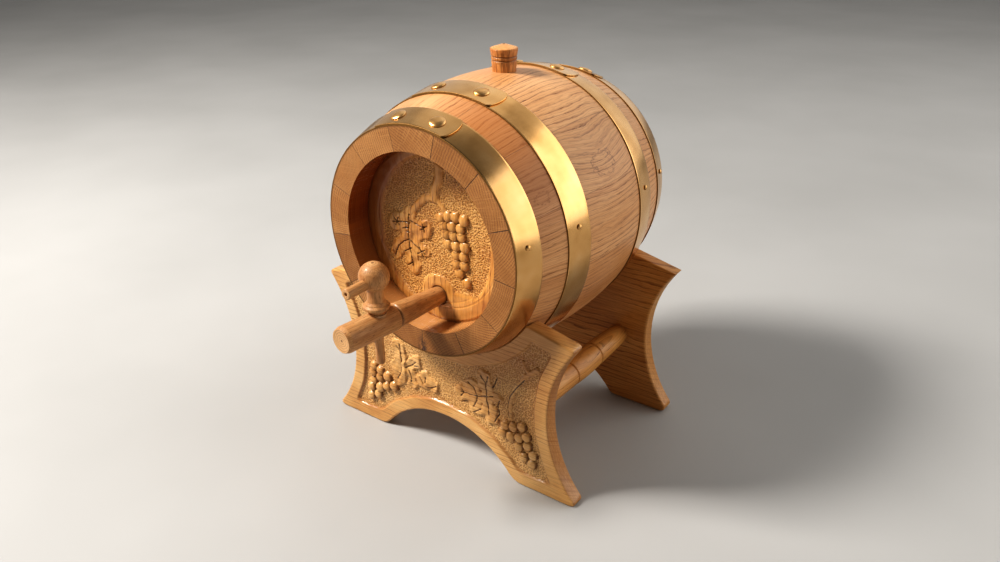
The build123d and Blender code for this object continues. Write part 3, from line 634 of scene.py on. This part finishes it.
def carved_oak(name, along_x, deep, dark, mid, light):
    """Lacquered oak with a punched ground; masks come with the mesh."""
    s = Shader(name)
    x, y, z = s.split(s.place)
    ground = s.attribute("ground")
    painted_shadow = s.attribute("painted_shadow")
    painted_shade = s.attribute("painted_shade")
    across, along = (z + y * 0.55 + 0.3, x) if along_x else (x + 0.2, z)
    line, pores, fibre = oak_grain(s, across, along, 0.37, 0.0042 if along_x else 0.0065, 3.4)
    tone = s.noise((x * 14, y * 20, z * 22), 3, 0.55)
    colour = s.ramp(tone * 0.7 + fibre * 0.3, [(0.28, dark), (0.52, mid), (0.78, light)])
    plain = 1 - ground * 0.85
    colour = s.mix(line * 0.7 * plain, colour, deep)
    colour = s.mix(pores * 0.8 * plain, colour, scaled(deep, 0.6))
    fine = s.noise((x * 1100, 0.0, z * 1100), 3, 0.7)
    pit = s.attribute("pit") + (fine - 0.5) * 0.9
    # painted shade in the punch marks and a painted highlight on the ground between them
    colour = s.mix(ground * s.smooth(pit, 0.3, 0.95) * 0.72, colour, deep)
    colour = s.mix(ground * s.smooth(pit, 0.25, -0.2) * 0.6, colour, scaled(light, 1.12))
    if along_x:
        end = s.smooth(abs(s.split(s.normal)[0]), 0.55, 0.9)
        end_grain = s.smooth(s.noise((x * 60, y * 1100, z * 240), 3, 0.65), 0.35, 0.65)
        colour = s.mix(end * (0.72 - end_grain * 0.25), colour, deep)
    # painted shade, from the mesh's mask
    colour = s.mix(painted_shade * 0.5, colour, deep)
    # painted shadow, from the mesh's mask
    colour = s.mix(painted_shadow, colour, (0.035, 0.01, 0.002))
    coarse = s.bump(0.5 - line * 0.05 - pores * 0.3 + fibre * 0.2, 0.0002, 0.8)
    bump = s.bump(ground * fine, 0.0007, 1.0, coarse)
    return s.end(Base_Color=colour, Roughness=0.30 + fibre * 0.14, Normal=bump,
                 Specular_IOR_Level=0.45, Coat_Weight=0.3, Coat_Roughness=0.12)


def brass(name, brushed_round):
    """Polished sheet brass; on a hoop the polishing marks run round the barrel."""
    s = Shader(name)
    x, y, z = s.split(s.place)
    _, ny, nz = s.split(s.normal)
    patina = s.noise((x * 26, y * 40, z * 26), 2, 0.5)
    if brushed_round:
        turn = s.math("ARCTAN2", z - AXIS * MM, x)
        marks = s.noise((turn * 5, y * 4200, 0.0), 3, 0.65)
        smear = s.noise((turn * 9, y * 40, 4.0), 2, 0.5)
        ripple = s.noise((turn * 6, y * 16, 9.0), 2, 0.5)
        edge = s.smooth(abs(ny), 0.42, 0.65)
    else:
        marks = s.noise((x * 700, y * 700, z * 700), 2, 0.5)
        smear = s.noise((x * 160, y * 160, z * 160), 2, 0.5)
        ripple = marks * 0.2
        edge = s.smooth(nz, 0.35, 0.0)
    colour = s.ramp(patina * 0.7 + smear * 0.3, [
        (0.3, (0.59, 0.34, 0.13)), (0.5, (0.76, 0.465, 0.20)), (0.75, (0.86, 0.575, 0.295))])
    # painted shade: a hoop's edge faces and a stud's sides are darkened
    colour = s.mix(edge * 0.8, colour, (0.13, 0.06, 0.012))
    colour = s.mix(s.smooth(marks, 0.5, 0.7) * 0.12, colour, (0.55, 0.31, 0.08))
    bump = s.bump(ripple, 0.0006, 0.22)
    rough = (0.15 if brushed_round else 0.27) + marks * 0.06 + smear * 0.08 + edge * 0.35
    return s.end(Base_Color=colour, Metallic=1.0, Roughness=rough, Normal=bump)


def turned_wood(name, dark, mid, light, gloss, flecks, streaks):
    """Turned beech or similar, with its grain along the piece's own z axis."""
    s = Shader(name)
    x, y, z = s.split(s.place)
    # the blank's growth rings run along the turning axis, centred just beside it
    rho = s.length(x - 0.0006, y + 0.0009)
    wave = s.noise((x * 120, y * 120, z * 18), 2, 0.5)
    ring = s.math("FRACT", rho / 0.0021 + wave * 1.6)
    fibre = s.noise((x * 1300, y * 1300, z * 60), 3, 0.6)
    fleck = s.noise((x * 1500, y * 1500, z * 170), 2, 0.5)
    streak = s.smooth(s.noise((x * 620, y * 620, z * 22), 2, 0.6), 0.46, 0.62)
    tone = s.noise((x * 60, y * 60, z * 30), 3, 0.55)
    colour = s.ramp(tone * 0.65 + fibre * 0.35, [(0.3, dark), (0.5, mid), (0.75, light)])
    colour = s.mix(s.smooth(ring, 0.5, 0.0) * 0.3, colour, dark)
    colour = s.mix(streak * streaks, colour, scaled(dark, 0.6))
    colour = s.mix(s.smooth(fleck, 0.62, 0.7) * flecks, colour, scaled(dark, 0.42))
    # painted highlight: end faces are made lighter
    ends = s.smooth(abs(s.split(s.normal)[2]), 0.85, 0.97)
    colour = s.mix(ends * 0.5, colour, scaled(light, 1.15))
    pith = s.smooth(rho, 0.0016, 0.0006)
    colour = s.mix(ends * s.smooth(ring, 0.6, 0.0) * 0.4, colour, scaled(dark, 0.5))
    colour = s.mix(ends * pith * 0.75, colour, scaled(dark, 0.3))
    # painted shade in the turned grooves and at the tap's step
    colour = s.mix(s.attribute("groove") * 0.8, colour, scaled(dark, 0.2))
    bump = s.bump(fibre * 0.6 - s.smooth(fleck, 0.62, 0.7) * 0.4, 0.00016, 0.8)
    return s.end(Base_Color=colour, Roughness=0.52 - gloss * 0.22 + fibre * 0.12, Normal=bump,
                 Coat_Weight=gloss, Coat_Roughness=0.2)


STAVE = stave_oak()
STAND = stand_oak("stand_oak_shader", False)
ROD = stand_oak("stretcher_oak_shader", True)
CARVED_STAND = carved_oak(
    "stand_carved_shader", True,
    (0.27, 0.085, 0.014), (0.48, 0.21, 0.055), (0.69, 0.395, 0.145), (0.86, 0.59, 0.29))
CARVED_HEAD = carved_oak(
    "head_carved_shader", False,
    (0.22, 0.062, 0.01), (0.47, 0.175, 0.034), (0.68, 0.355, 0.105), (0.86, 0.57, 0.24))
BRASS = brass("brass_shader", True)
BRASS_PIN = brass("brass_pin_shader", False)
TAP_WOOD = turned_wood(
    "tap_wood_shader", (0.37, 0.155, 0.05), (0.54, 0.285, 0.112), (0.68, 0.43, 0.215), 0.12, 0.7, 0.3)
BUNG_WOOD = turned_wood(
    "bung_wood_shader", (0.37, 0.125, 0.028), (0.62, 0.265, 0.07), (0.78, 0.43, 0.165), 0.3, 0.5, 0.6)
CORK = turned_wood("cork_shader", (0.35, 0.19, 0.09), (0.50, 0.31, 0.16), (0.58, 0.38, 0.22), 0.0, 0.9, 0.1)


def dress(obj, material):
    obj.data.materials.clear()
    obj.data.materials.append(material)


def settle(obj, material, body, slot, *nodes):
    """Gives a new piece its material and body, and hides the CAD nodes that it stands for. The slot is not
    used.
    """
    dress(obj, material)
    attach(obj, body)
    if nodes:
        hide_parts(*nodes)


# ---- CAD nodes that keep their shape ----
KEPT = {"stave": STAVE, "rear_head": CARVED_HEAD, "stand_rear": STAND, "stretcher": ROD, "key_cork": CORK}
for name, node in frame["nodes"].items():
    for start, material in KEPT.items():
        if name.startswith(start):
            dress(node, material)

# ---- Front head: art as points and radii in mm from the barrel's axis ----
BRANCH = 3.4
HEAD_ART = {
    "grape_rise": 3.3,
    "leaf_rise": 1.25,
    "grapes": [(x, z, 5.0) for x, z in (
        (5, 17), (13, 20), (21, 21), (8, 11), (17, 12), (26, 12), (10, 4), (18, 4), (27, 5), (12, -5),
        (20.5, -5), (20.5, -13), (28.5, -13), (21, -21), (29, -21), (24, -29), (31, -37))] + [
        (x, z, 5.4) for x, z in ((30, 20), (30, -4))],
    "branches": [
        ([(5, 61), (4, 50), (-0.5, 41), (-1, 33)], BRANCH + 1, 2.0),
        ([(-1, 34), (-12, 31), (-20, 24), (-27, 16)], BRANCH, 1.6),
        ([(-1, 35), (6, 28), (10, 23)], BRANCH - 0.6, 1.4),
    ],
    "leaves": [[
        ([(-30, 12), (-32, -2), (-32, -18), (-29, -33)], 8.0),
        ([(-30, 6), (-47, 2)], 8.0),
        ([(-29, 6), (-21, -1), (-13, 3)], 8.0),
        ([(-32, -11), (-44, -19), (-48, -26)], 7.0),
        ([(-30, -12), (-17, -19)], 7.5),
        ([(-29, -30), (-27, -38)], 6.0),
    ]],
    "veins": [
        [(-30, 13), (-31, 6), (-32, -1), (-32, -9), (-32, -17), (-30, -25), (-29, -31), (-29, -36)],
        [(-30, 5.5), (-37, 4.5), (-50, 2)],
        [(-43, 7.5), (-47, -0.5)],
        [(-42.5, 0.5), (-48, 6.5)],
        [(-29, 7), (-22, 5), (-14, 4)],
        [(-15, 7), (-13.5, 0)],
        [(-18, 1), (-11, 6)],
        [(-32, -11), (-38, -14), (-44, -19), (-47, -24), (-50, -31)],
        [(-30, -12), (-23, -16), (-14, -21)],
        [(-20, -16), (-17, -24)],
        [(-22, -22), (-14, -17)],
        [(-39, -2), (-32, 0)],
        [(-37, -23), (-30, -19)],
        [(-36, -37), (-29, -32)],
        [(-34, -4), (-30, -4)],
    ],
}
TAP_X, TAP_Z = TAP.x / MM, TAP.z / MM - AXIS
TAP_HOLE = TAP_R / math.cos(math.atan2(OUT.x, -OUT.y))
HEAD_CELL, HEAD_SUNK, HEAD_PUNCH = 0.5, 1.7, 1.8
PUNCH_DEPTH = 0.5


def notch(distance, width):
    """Fine cut line: 1 on it, fading over its width."""
    return np.exp(-((distance / width) ** 2))


def head_edge(x, z):
    return np.maximum(np.hypot(x, z) - CHIME, TAP_HOLE - np.hypot(x - TAP_X, z - TAP_Z))


def head_wall(co, _step):
    """The disc's edge runs straight back; the tap's hole follows the tap's axis."""
    if math.hypot(co.x - TAP.x, co.z - TAP.z) < (TAP_HOLE + 0.5) * MM:
        return Vector((co.x + HEAD_DEPTH * OUT.x / OUT.y, HEAD_Y + HEAD_DEPTH, co.z))
    return Vector((co.x, HEAD_Y + HEAD_DEPTH, co.z))


def make_front_head():
    points, faces = cut_grid((-80, -80), (80, 80), HEAD_CELL, head_edge)
    x, z = points.T
    radius = np.hypot(x, z)
    from_tap = np.hypot(x - TAP_X, z - TAP_Z)
    hole = from_tap - TAP_HOLE

    # the recessed field is an oval, less the smooth boss round the tap and the skirt below it
    oval = np.hypot((x + 2.5) / 62, (z + 1.5) / np.where(z > -1.5, 73, 72)) + waves(x, z, 30, 21) * 0.006
    boss = ease(from_tap, 20.5, 17.5)
    skirt_line = [(TAP_X + 4, TAP_Z - 4), (34, -58), (48, -52)]
    skirt = ease(to_line(x, z, skirt_line), 15, 9) * ease(z, -44, -52)
    field = ease(oval, 1.0, 0.94) * (1 - np.maximum(boss, skirt))

    # the plain border rises outwards, with two turned lines, and falls off at the rim
    border = 0.9 * ease(radius, 58, 72) - 0.35 * notch(radius - 66, 0.7) - 0.25 * notch(radius - 61, 0.6)
    border = border - 0.9 * ease(radius, 76.5, CHIME)
    height, ground, painted_shadow = carve(x, z, -HEAD_SUNK, HEAD_ART)
    height = height * field + border * (1 - field) + 0.15 * waves(x, z, 14, 33)
    height -= 0.8 * ease(hole, 1.2, 0.0)
    ground = ground * ease(field, 0.35, 0.8)
    pit = punch(x, z, HEAD_PUNCH, 41)
    height -= PUNCH_DEPTH * pit * ground

    # painted shade: darker by the rim and round the hole, and a painted shadow of the rim towards the upper
    # left
    painted_shade = np.maximum(0.6 * ease(radius, 62, 74) + 0.4 * ease(radius, 75.5, CHIME), ease(hole, 4.0, 0.5))
    painted_shade = np.maximum(painted_shade, ease(z * 0.8 - x, 30, 95) + 0.8 * (1 - field) * ease(-x, 15, 55))
    # painted shadow in the gap round the tap's hole
    painted_shadow = np.maximum(painted_shadow * field, 0.8 * ease(hole, 1.6, 0.2))
    masks = ground, pit, painted_shadow, painted_shade
    head = relief("front_head_carved", points + (0, AXIS), faces, height, HEAD_Y, masks, head_wall, 1)
    settle(head, CARVED_HEAD, "barrel", "head_oak", "front_head")


make_front_head()

# ---- Front panel of the stand: art as points and radii in mm from the barrel's axis ----
PANEL_ART = {
    "grape_rise": 3.9,
    "leaf_rise": 1.6,
    "grapes": [(x, z, 5.0) for x, z in (
        (-90, -160), (-92, -168), (-82, -163), (-83, -171), (-75, -179), (-92, -177), (-96, -186),
        (-87, -192), (-97, -197), (69, -166), (78, -165), (87, -161), (66, -175), (75, -176), (84, -174),
        (92, -170), (84, -183), (93, -179), (99, -187), (89, -193), (98, -197))] + [
        (x, z, 5.5) for x, z in ((-73, -167), (-65, -175), (-84, -183))],
    "branches": [
        ([(103, -98), (92, -107), (82, -121), (76, -134), (74, -148), (76, -158)], 2.6, 1.5),
        ([(88, -96), (94, -105)], 2.0, 1.1),
    ],
    "leaves": [
        [([(-57, -127), (-53, -138), (-54, -152), (-58, -164)], 7.5), ([(-53, -146), (-62, -150)], 6.0)],
        [([(-46, -147), (-34, -137)], 6.5), ([(-42, -150), (-40, -161)], 6.5),
         ([(-24, -150), (-14, -157)], 6.0), ([(-32, -155), (-22, -158)], 5.0)],
        [([(46, -125), (49, -137), (50, -150), (52, -163)], 8.0), ([(30, -138), (38, -146), (36, -160)], 8.0),
         ([(20, -150), (36, -148)], 7.0), ([(52, -143), (60, -140)], 6.0), ([(40, -160), (56, -164)], 5.0)],
    ],
    "veins": [
        [(-58, -127), (-53, -133), (-52, -140), (-53, -147), (-54, -155), (-59, -164)],
        [(-54, -124), (-52.5, -134)],
        [(-47, -147), (-40, -143), (-34, -137)],
        [(-43, -149), (-41, -154), (-41, -161)],
        [(-36, -142), (-31, -141)],
        [(-23, -150), (-23.5, -155.5)],
        [(-21, -161), (-14, -158), (-10, -155)],
        [(-30, -152), (-26, -158)],
        [(43, -124), (48, -130), (49, -140), (50, -150), (51.5, -162)],
        [(51, -122), (48.5, -131)],
        [(28, -136), (34, -139), (38.5, -146), (38, -152), (34, -160)],
        [(20, -149), (40, -147), (56, -141)],
        [(20, -145), (23, -149), (19.5, -154)],
        [(19, -161), (28, -157)],
        [(34, -166), (42, -160)],
        [(60, -121), (56, -132)],
        [(64, -142), (60, -150), (62, -158), (58, -167)],
        [(90, -112), (80, -125), (74, -135), (71.5, -147), (73, -157)],
    ],
}
PANEL_LOW, PANEL_HIGH = (-145, -1), (145, 170)
PANEL_CELL, PANEL_SUNK, PANEL_PUNCH = 0.57, 2.2, 1.85
BACK_CELL = 1.6
FRAME = 13.0  # width of the plain frame round the sunk field
ROUND = 1.8  # radius of the panel's softened edges
EDGE = ROUND * MM
CORNER = 0.293  # of a radius: how far the middle of a quarter turn lies inside its corner
BACK_STEPS = (  # at each step of the back edge: the depth left, and the move inwards
    (EDGE, 0.0), (CORNER * EDGE, CORNER * EDGE), (0.0, EDGE - CORNER * EDGE))


def soft_max(a, b, k):
    """Larger of two distances, with the corner between them rounded over k."""
    return np.maximum(a, b) + np.clip(k - np.abs(a - b), 0, None) ** 2 / (4 * k)


def panel_edge(x, z, cradle=SEAT_FRONT, grow=0.0):
    """Signed distance, negative inside, from the panel's outline moved inwards by grow."""
    side = np.abs(x)
    hollow = SIDE_R + grow - np.hypot(side - WAIST_HALF - SIDE_R, z - WAIST_Z)
    arch = ARCH_R + grow - np.hypot(x, z - (ARCH_TOP - ARCH_R))
    ear = (z + grow * 1.02 - EAR_PEAK + EAR_SLOPE * side) / math.hypot(1, EAR_SLOPE)
    seat = cradle + grow - np.hypot(x, z - AXIS)
    edge = soft_max(-z + grow, hollow, 7.0)
    edge = soft_max(edge, arch, 7.0)
    edge = soft_max(edge, soft_max(hollow, ear, 6.0), 0.5)
    return soft_max(edge, seat, 2.5)


def shrink(co, y, inset):
    """Moves a point of the back edge towards the inside of the outline."""
    e = 0.05
    x, z = co.x / MM, co.z / MM
    here = np.array([x, x + e, x]), np.array([z, z, z + e])
    d = panel_edge(*here, cradle=SEAT_BACK)
    g = np.array([d[1] - d[0], d[2] - d[0]])
    g /= np.linalg.norm(g) + 1e-9
    return Vector((co.x - g[0] * inset, y, co.z - g[1] * inset))


def panel_wall(co, step):
    """Edges run straight back and end rounded, except that the seat opens out with the barrel's bulge."""
    depth, inset = BACK_STEPS[step]
    if step > 0:
        return shrink(co, PANEL_BACK - depth, inset)
    up = co.z - AXIS * MM
    reach = math.hypot(co.x, up)
    if reach < (SEAT_FRONT + 1.5) * MM:
        scale = (SEAT_BACK - 0.3) * MM / reach
        return Vector((co.x * scale, PANEL_BACK - depth, AXIS * MM + up * scale))
    return Vector((co.x, PANEL_BACK - depth, co.z))


def make_front_panel():
    points, faces = cut_grid(PANEL_LOW, PANEL_HIGH, PANEL_CELL, panel_edge)
    x, z = points.T
    edge = panel_edge(x, z)
    frame_edge = panel_edge(x, z, grow=FRAME) + waves(x, z, 24, 8) * 0.5
    field = ease(-frame_edge, -1.0, 1.6)
    height, ground, painted_shadow = carve(x, z - AXIS, -PANEL_SUNK, PANEL_ART)
    inside = np.clip(ROUND + edge, 0, ROUND)
    height = height * field - (ROUND - np.sqrt(ROUND**2 - inside**2)) + 0.12 * waves(x, z, 26, 17)
    ground = ground * ease(field, 0.5, 0.95)
    pit = punch(x, z, PANEL_PUNCH, 43)
    height -= PUNCH_DEPTH * pit * ground

    # painted shade along the frame's inner edge, and a painted shadow of the barrel below it on the right
    under_barrel = 0.75 * ease(np.hypot(x, z - AXIS), 158, 130) * ease(x, 5, 45)
    painted_shade = np.maximum(notch(frame_edge + 0.4, 1.1), under_barrel)
    masks = ground, pit, painted_shadow * field, painted_shade
    panel = relief("stand_front_carved", points, faces, height, PANEL_Y, masks, panel_wall, len(BACK_STEPS))
    settle(panel, CARVED_STAND, "stand", "stand_oak", "stand_front_panel")


def make_panel_back():
    points, faces = cut_grid(
        PANEL_LOW, PANEL_HIGH, BACK_CELL, lambda x, z: panel_edge(x, z, SEAT_BACK, ROUND))
    flat = np.zeros(len(points))
    back = relief("stand_front_back", points, [f[::-1] for f in faces], flat, PANEL_BACK, [flat] * 4)
    settle(back, CARVED_STAND, "stand", "stand_oak")


make_front_panel()
make_panel_back()


# ---- Hoops: strip, lapped end, rivets and nails ----
def strip(start, end):
    """Closed brass ring with softened edges that follows the barrel's bulge."""
    inner, soft, nick, turns = 0.05, 0.16, 0.16 * 0.29, 300
    stations = [start, start + nick, start + soft, *np.linspace(start + 1.5, end - 1.5, 9),
                end - soft, end - nick, end]
    edge = [HOOP_TOP - soft, HOOP_TOP - nick, HOOP_TOP]
    section = [(float(shell(s, h)), s) for s, h in zip(stations, edge + [HOOP_TOP] * 9 + edge[::-1])]
    section += [(float(shell(s, inner)), s) for s in (end, (start + end) / 2, start)]
    count = len(section)
    vertices = [around(r, s, 360 * k / turns) for k in range(turns) for r, s in section]
    faces = []
    for k in range(turns):
        for i in range(count):
            j, n = (i + 1) % count, (k + 1) % turns
            faces.append((k * count + i, k * count + j, n * count + j, n * count + i))
    return vertices, faces


def lap(start, end):
    """The overlapping free end: a plate with a bulging nose and softened edges."""
    top, soft, nick, nose = 2.02, 0.2, 0.12, 3.4
    half, middle = (end - start) / 2, (start + end) / 2
    nose_r = (half**2 + nose**2) / (2 * nose)
    surface = float(shell(middle))
    length = math.radians(LAP_TO - LAP_FROM) * surface
    across = [-half, -half + nick, -half + soft, *np.linspace(-half + 1.5, half - 1.5, 13),
              half - soft, half - nick, half]
    forward = [0, nick, soft, 1.2, *np.linspace(2.5, length, 26)]
    vertices, faces = [], []
    for distance in forward:
        for c in across:
            bulge = math.sqrt(nose_r**2 - c * c) - (nose_r - nose)
            corner = max(0.0, abs(c) - (half - 2.4)) ** 2 * 0.22
            along = -bulge + corner + distance * (length + bulge - corner) / length
            inset = min(distance, half - abs(c), soft)
            softened = soft * (1 - math.sqrt(1 - (1 - inset / soft) ** 2))
            height = top - softened + 0.35 * math.exp(-distance / 5.0)
            angle = LAP_FROM + math.degrees(along / surface)
            vertices.append(around(float(shell(middle + c, height)), middle + c, angle))
    width, rows = len(across), len(forward)
    for i in range(rows - 1):
        for j in range(width - 1):
            faces.append((i * width + j, i * width + j + 1, (i + 1) * width + j + 1, (i + 1) * width + j))

    # side walls down to the strip below
    border = list(range(width)) + [i * width + width - 1 for i in range(1, rows)]
    border += [(rows - 1) * width + j for j in range(width - 2, -1, -1)]
    border += [i * width for i in range(rows - 2, 0, -1)]
    first = len(vertices)
    for b in border:
        v = Vector(vertices[b])
        out = Vector((v.x, 0, v.z - AXIS * MM)).normalized()
        vertices.append(tuple(v - out * (top - soft - HOOP_TOP + 0.05) * MM))
    for k in range(len(border)):
        n = (k + 1) % len(border)
        faces.append((border[k], border[n], first + n, first + k))
    return vertices, faces


def studs(kind, hoop, angles, profile, proud, turns, waver):
    """A hoop's rivets or nails, one turned piece at each angle, for the CAD node of that kind."""
    middle = sum(HOOPS[hoop]) / 2
    for number, angle in enumerate(angles):
        stud = lathe(f"{kind}_{hoop}_{number}", profile, on_shell(middle, angle, proud), turns, waver)
        settle(stud, BRASS_PIN, "barrel", "brass", *([f"{kind}s_{hoop}"] if number == 0 else []))


RIVET = [(0, -1.2), (2.0, -1.2)] + rounded([
    (2.0, -0.9, 0), (6.8, -0.2, 0), (6.7, 0.5, 0.4), (5.6, 1.25, 1.8), (3.2, 1.9, 2.4), (0, 2.1, 0)])
NAIL = [(0, -0.8), (0.8, -0.8)] + rounded([
    (0.8, -0.3, 0), (2.2, 0.0, 0), (2.15, 0.7, 0.5), (1.3, 1.5, 0.9), (0, 1.75, 0)])
for name, (start, end) in HOOPS.items():
    vertices, faces = strip(start, end)
    lap_vertices, lap_faces = lap(start, end)
    faces += [tuple(i + len(vertices) for i in f) for f in lap_faces]
    hoop = make_object(f"hoop_{name}_sheet", vertices + lap_vertices, faces, sharp=55)
    settle(hoop, BRASS, "barrel", "brass", f"hoop_{name}")
    studs("rivet", name, RIVET_ANGLES, RIVET, 2.1, 48, 0.008)
    studs("nail", name, NAIL_ANGLES, NAIL, 1.05, 32, 0.01)

# ---- Bung ----
BUNG_AT = Vector((0, RIM_Y + BUNG_STATION * MM, (AXIS + BELLY) * MM))
BUNG_GROOVES = [(10.95, 9.4, 0.9), (11.2, 12.6, 0.9)]
profile = [(0, -25, 0), (8.45, -25, 0.8), (10.45, 0, 0), (11.15, 8.4, 0)]
for radius, height, _ in BUNG_GROOVES:
    profile += [
        (radius + 0.2, height - 0.7, 0.2), (radius - 0.5, height, 0.2), (radius + 0.25, height + 0.7, 0.2)]
profile = rounded(profile + [(12.3, 19.0, 0.5), (11.6, 19.6, 0.5), (0, 23.2, 0)])
bung = lathe("bung_turned", profile, place(BUNG_AT, UP), 96, 0.002, BUNG_GROOVES)
settle(bung, BUNG_WOOD, "bung", "bung_wood", "bung")

# ---- Tap ----
SHANK_R, SHOULDER_R, SHOULDER = 8.0, 11.0, 51.8
BORE = 3.0
shank_end = SHANK_R - (SHOULDER_R - SHANK_R) / SHOULDER * 30
profile = rounded([
    (BORE, -30, 0), (shank_end, -30, 0.8), (SHANK_R, 0, 0), (10.9, 50.0, 0.5), (9.7, 51.3, 0.4),
    (9.8, 52.0, 0.4), (11.7, 53.2, 0.7), (11.75, 60, 0), (11.75, 104.5, 1.0), (10.3, 108.3, 1.0),
    (9.0, 108.0, 0), (0, 108.0, 0)])
tap_body = lathe("tap_body_turned", profile, place(TAP, OUT, UP), 128, 0.003, [(9.6, 51.7, 1.6)])
settle(tap_body, TAP_WOOD, "tap", "tap_wood", "tap_body")

profile = [(2.3, -9.0), (2.3, -36.0)] + rounded([(2.3, -36.3, 0), (3.8, -36.3, 0.5), (3.85, -9.0, 0)])
spout = lathe("tap_spout_turned", profile, place(KEY, UP), 64, 0.006)
settle(spout, TAP_WOOD, "tap", "tap_wood", "tap_spout")

BALL_R, BALL_Z = 12.8, 43.2
profile = rounded([
    (0, -8, 0), (5.7, -8, 0.4), (6.8, 14.4, 0.1), (9.8, 14.5, 0.8), (11.3, 15.8, 1.2), (11.2, 18.0, 1.4),
    (9.3, 19.2, 0.8), (8.8, 20.2, 0.6), (7.3, 22.0, 1.6), (6.75, 26.5, 3.0), (6.9, 31.0, 1.5)])
for a in np.radians(np.linspace(-56, 90, 26)):
    profile.append((BALL_R * math.cos(a), BALL_Z + BALL_R * math.sin(a)))
key = lathe("tap_key_turned", profile, place(KEY, UP), 96, 0.006)
settle(key, TAP_WOOD, "key", "tap_wood", "tap_key")

PEG_HEIGHT = 0.04
profile = [(0, 5.8)] + rounded([
    (4.7, 5.8, 0), (4.6, 20, 0), (4.7, 32.0, 1.2), (1.5, 31.8, 0.4), (1.3, 29.0, 0), (0, 29.0, 0)])
peg = lathe("key_peg_turned", profile, place(KEY + Vector((0, 0, PEG_HEIGHT)), (0, -1, 0)), 64, 0.012)
settle(peg, TAP_WOOD, "key", "tap_wood", "key_peg")

# ---- Floor, light and camera ----
bpy.ops.mesh.primitive_plane_add(size=30, location=(0, 5, 0))
floor = bpy.context.object
floor.name = "floor"
s = Shader("floor_shader")
cloud = s.noise([c * 3 for c in s.split(s.place)], 3, 0.5)
floor_colour = s.ramp(cloud, [(0.3, (0.41, 0.405, 0.395)), (0.7, (0.45, 0.445, 0.435))])
dress(floor, s.end(Base_Color=floor_colour, Roughness=0.8))


def lamp(name, place_at, target, size, power, colour):
    light = bpy.data.lights.new(name, "AREA")
    light.shape = "RECTANGLE"
    light.size, light.size_y = size
    light.energy = power
    light.color = colour
    obj = bpy.data.objects.new(name, light)
    obj.location = place_at
    obj.rotation_euler = (Vector(target) - Vector(place_at)).to_track_quat("-Z", "Y").to_euler()
    obj.visible_camera = False
    bpy.context.scene.collection.objects.link(obj)


centre = (0, 0, 0.2)
lamp("key", (-1.25, -1.0, 1.75), centre, (0.55, 0.55), 64, (1.0, 0.965, 0.92))
lamp("side", (1.6, 1.1, 1.1), centre, (2.9, 2.2), 22, (1.0, 0.985, 0.96))
lamp("back", (-0.95, 1.25, 2.4), centre, (1.6, 1.6), 2, (1.0, 1.0, 1.0))

# the studio is pale near the horizon and towards its backdrop behind the object
s = Shader("world", bpy.data.worlds.new("world"))
_, y, z = s.split(s.node("TexCoord").outputs["Generated"])
backdrop = s.smooth(y, 0.15, 0.75, 0.08, 0.62, "LINEAR")
horizon = s.smooth(z, 0.15, 0.42, 0.34, 0.0, "LINEAR")
bpy.context.scene.world = s.end(Color=(1.0, 0.98, 0.95), Strength=s.math("MAXIMUM", backdrop, horizon))
bpy.context.scene.view_settings.view_transform = "Standard"
bpy.context.scene.view_settings.look = "High Contrast"

SENSOR = 36
FOCAL = 866.18 / 1000  # focal length over the image's width
YAW, PITCH, ROLL = 0.638083, -0.450386, 0.014008
camera = bpy.data.objects.new("camera", bpy.data.cameras.new("camera"))
camera.data.lens = FOCAL * SENSOR
camera.data.sensor_width = SENSOR
camera.data.clip_start = 0.02
turn = Matrix.Rotation(YAW, 3, "Z") @ Matrix.Rotation(PITCH, 3, "X") @ Matrix.Rotation(ROLL, 3, "Y")
right, forward, up = turn.col
camera.matrix_world = Matrix((right, up, -forward)).transposed().to_4x4()
camera.location = (0.446689, -0.487851 + RIM_Y, 0.284486 + AXIS * MM)
bpy.context.scene.collection.objects.link(camera)
bpy.context.scene.camera = camera
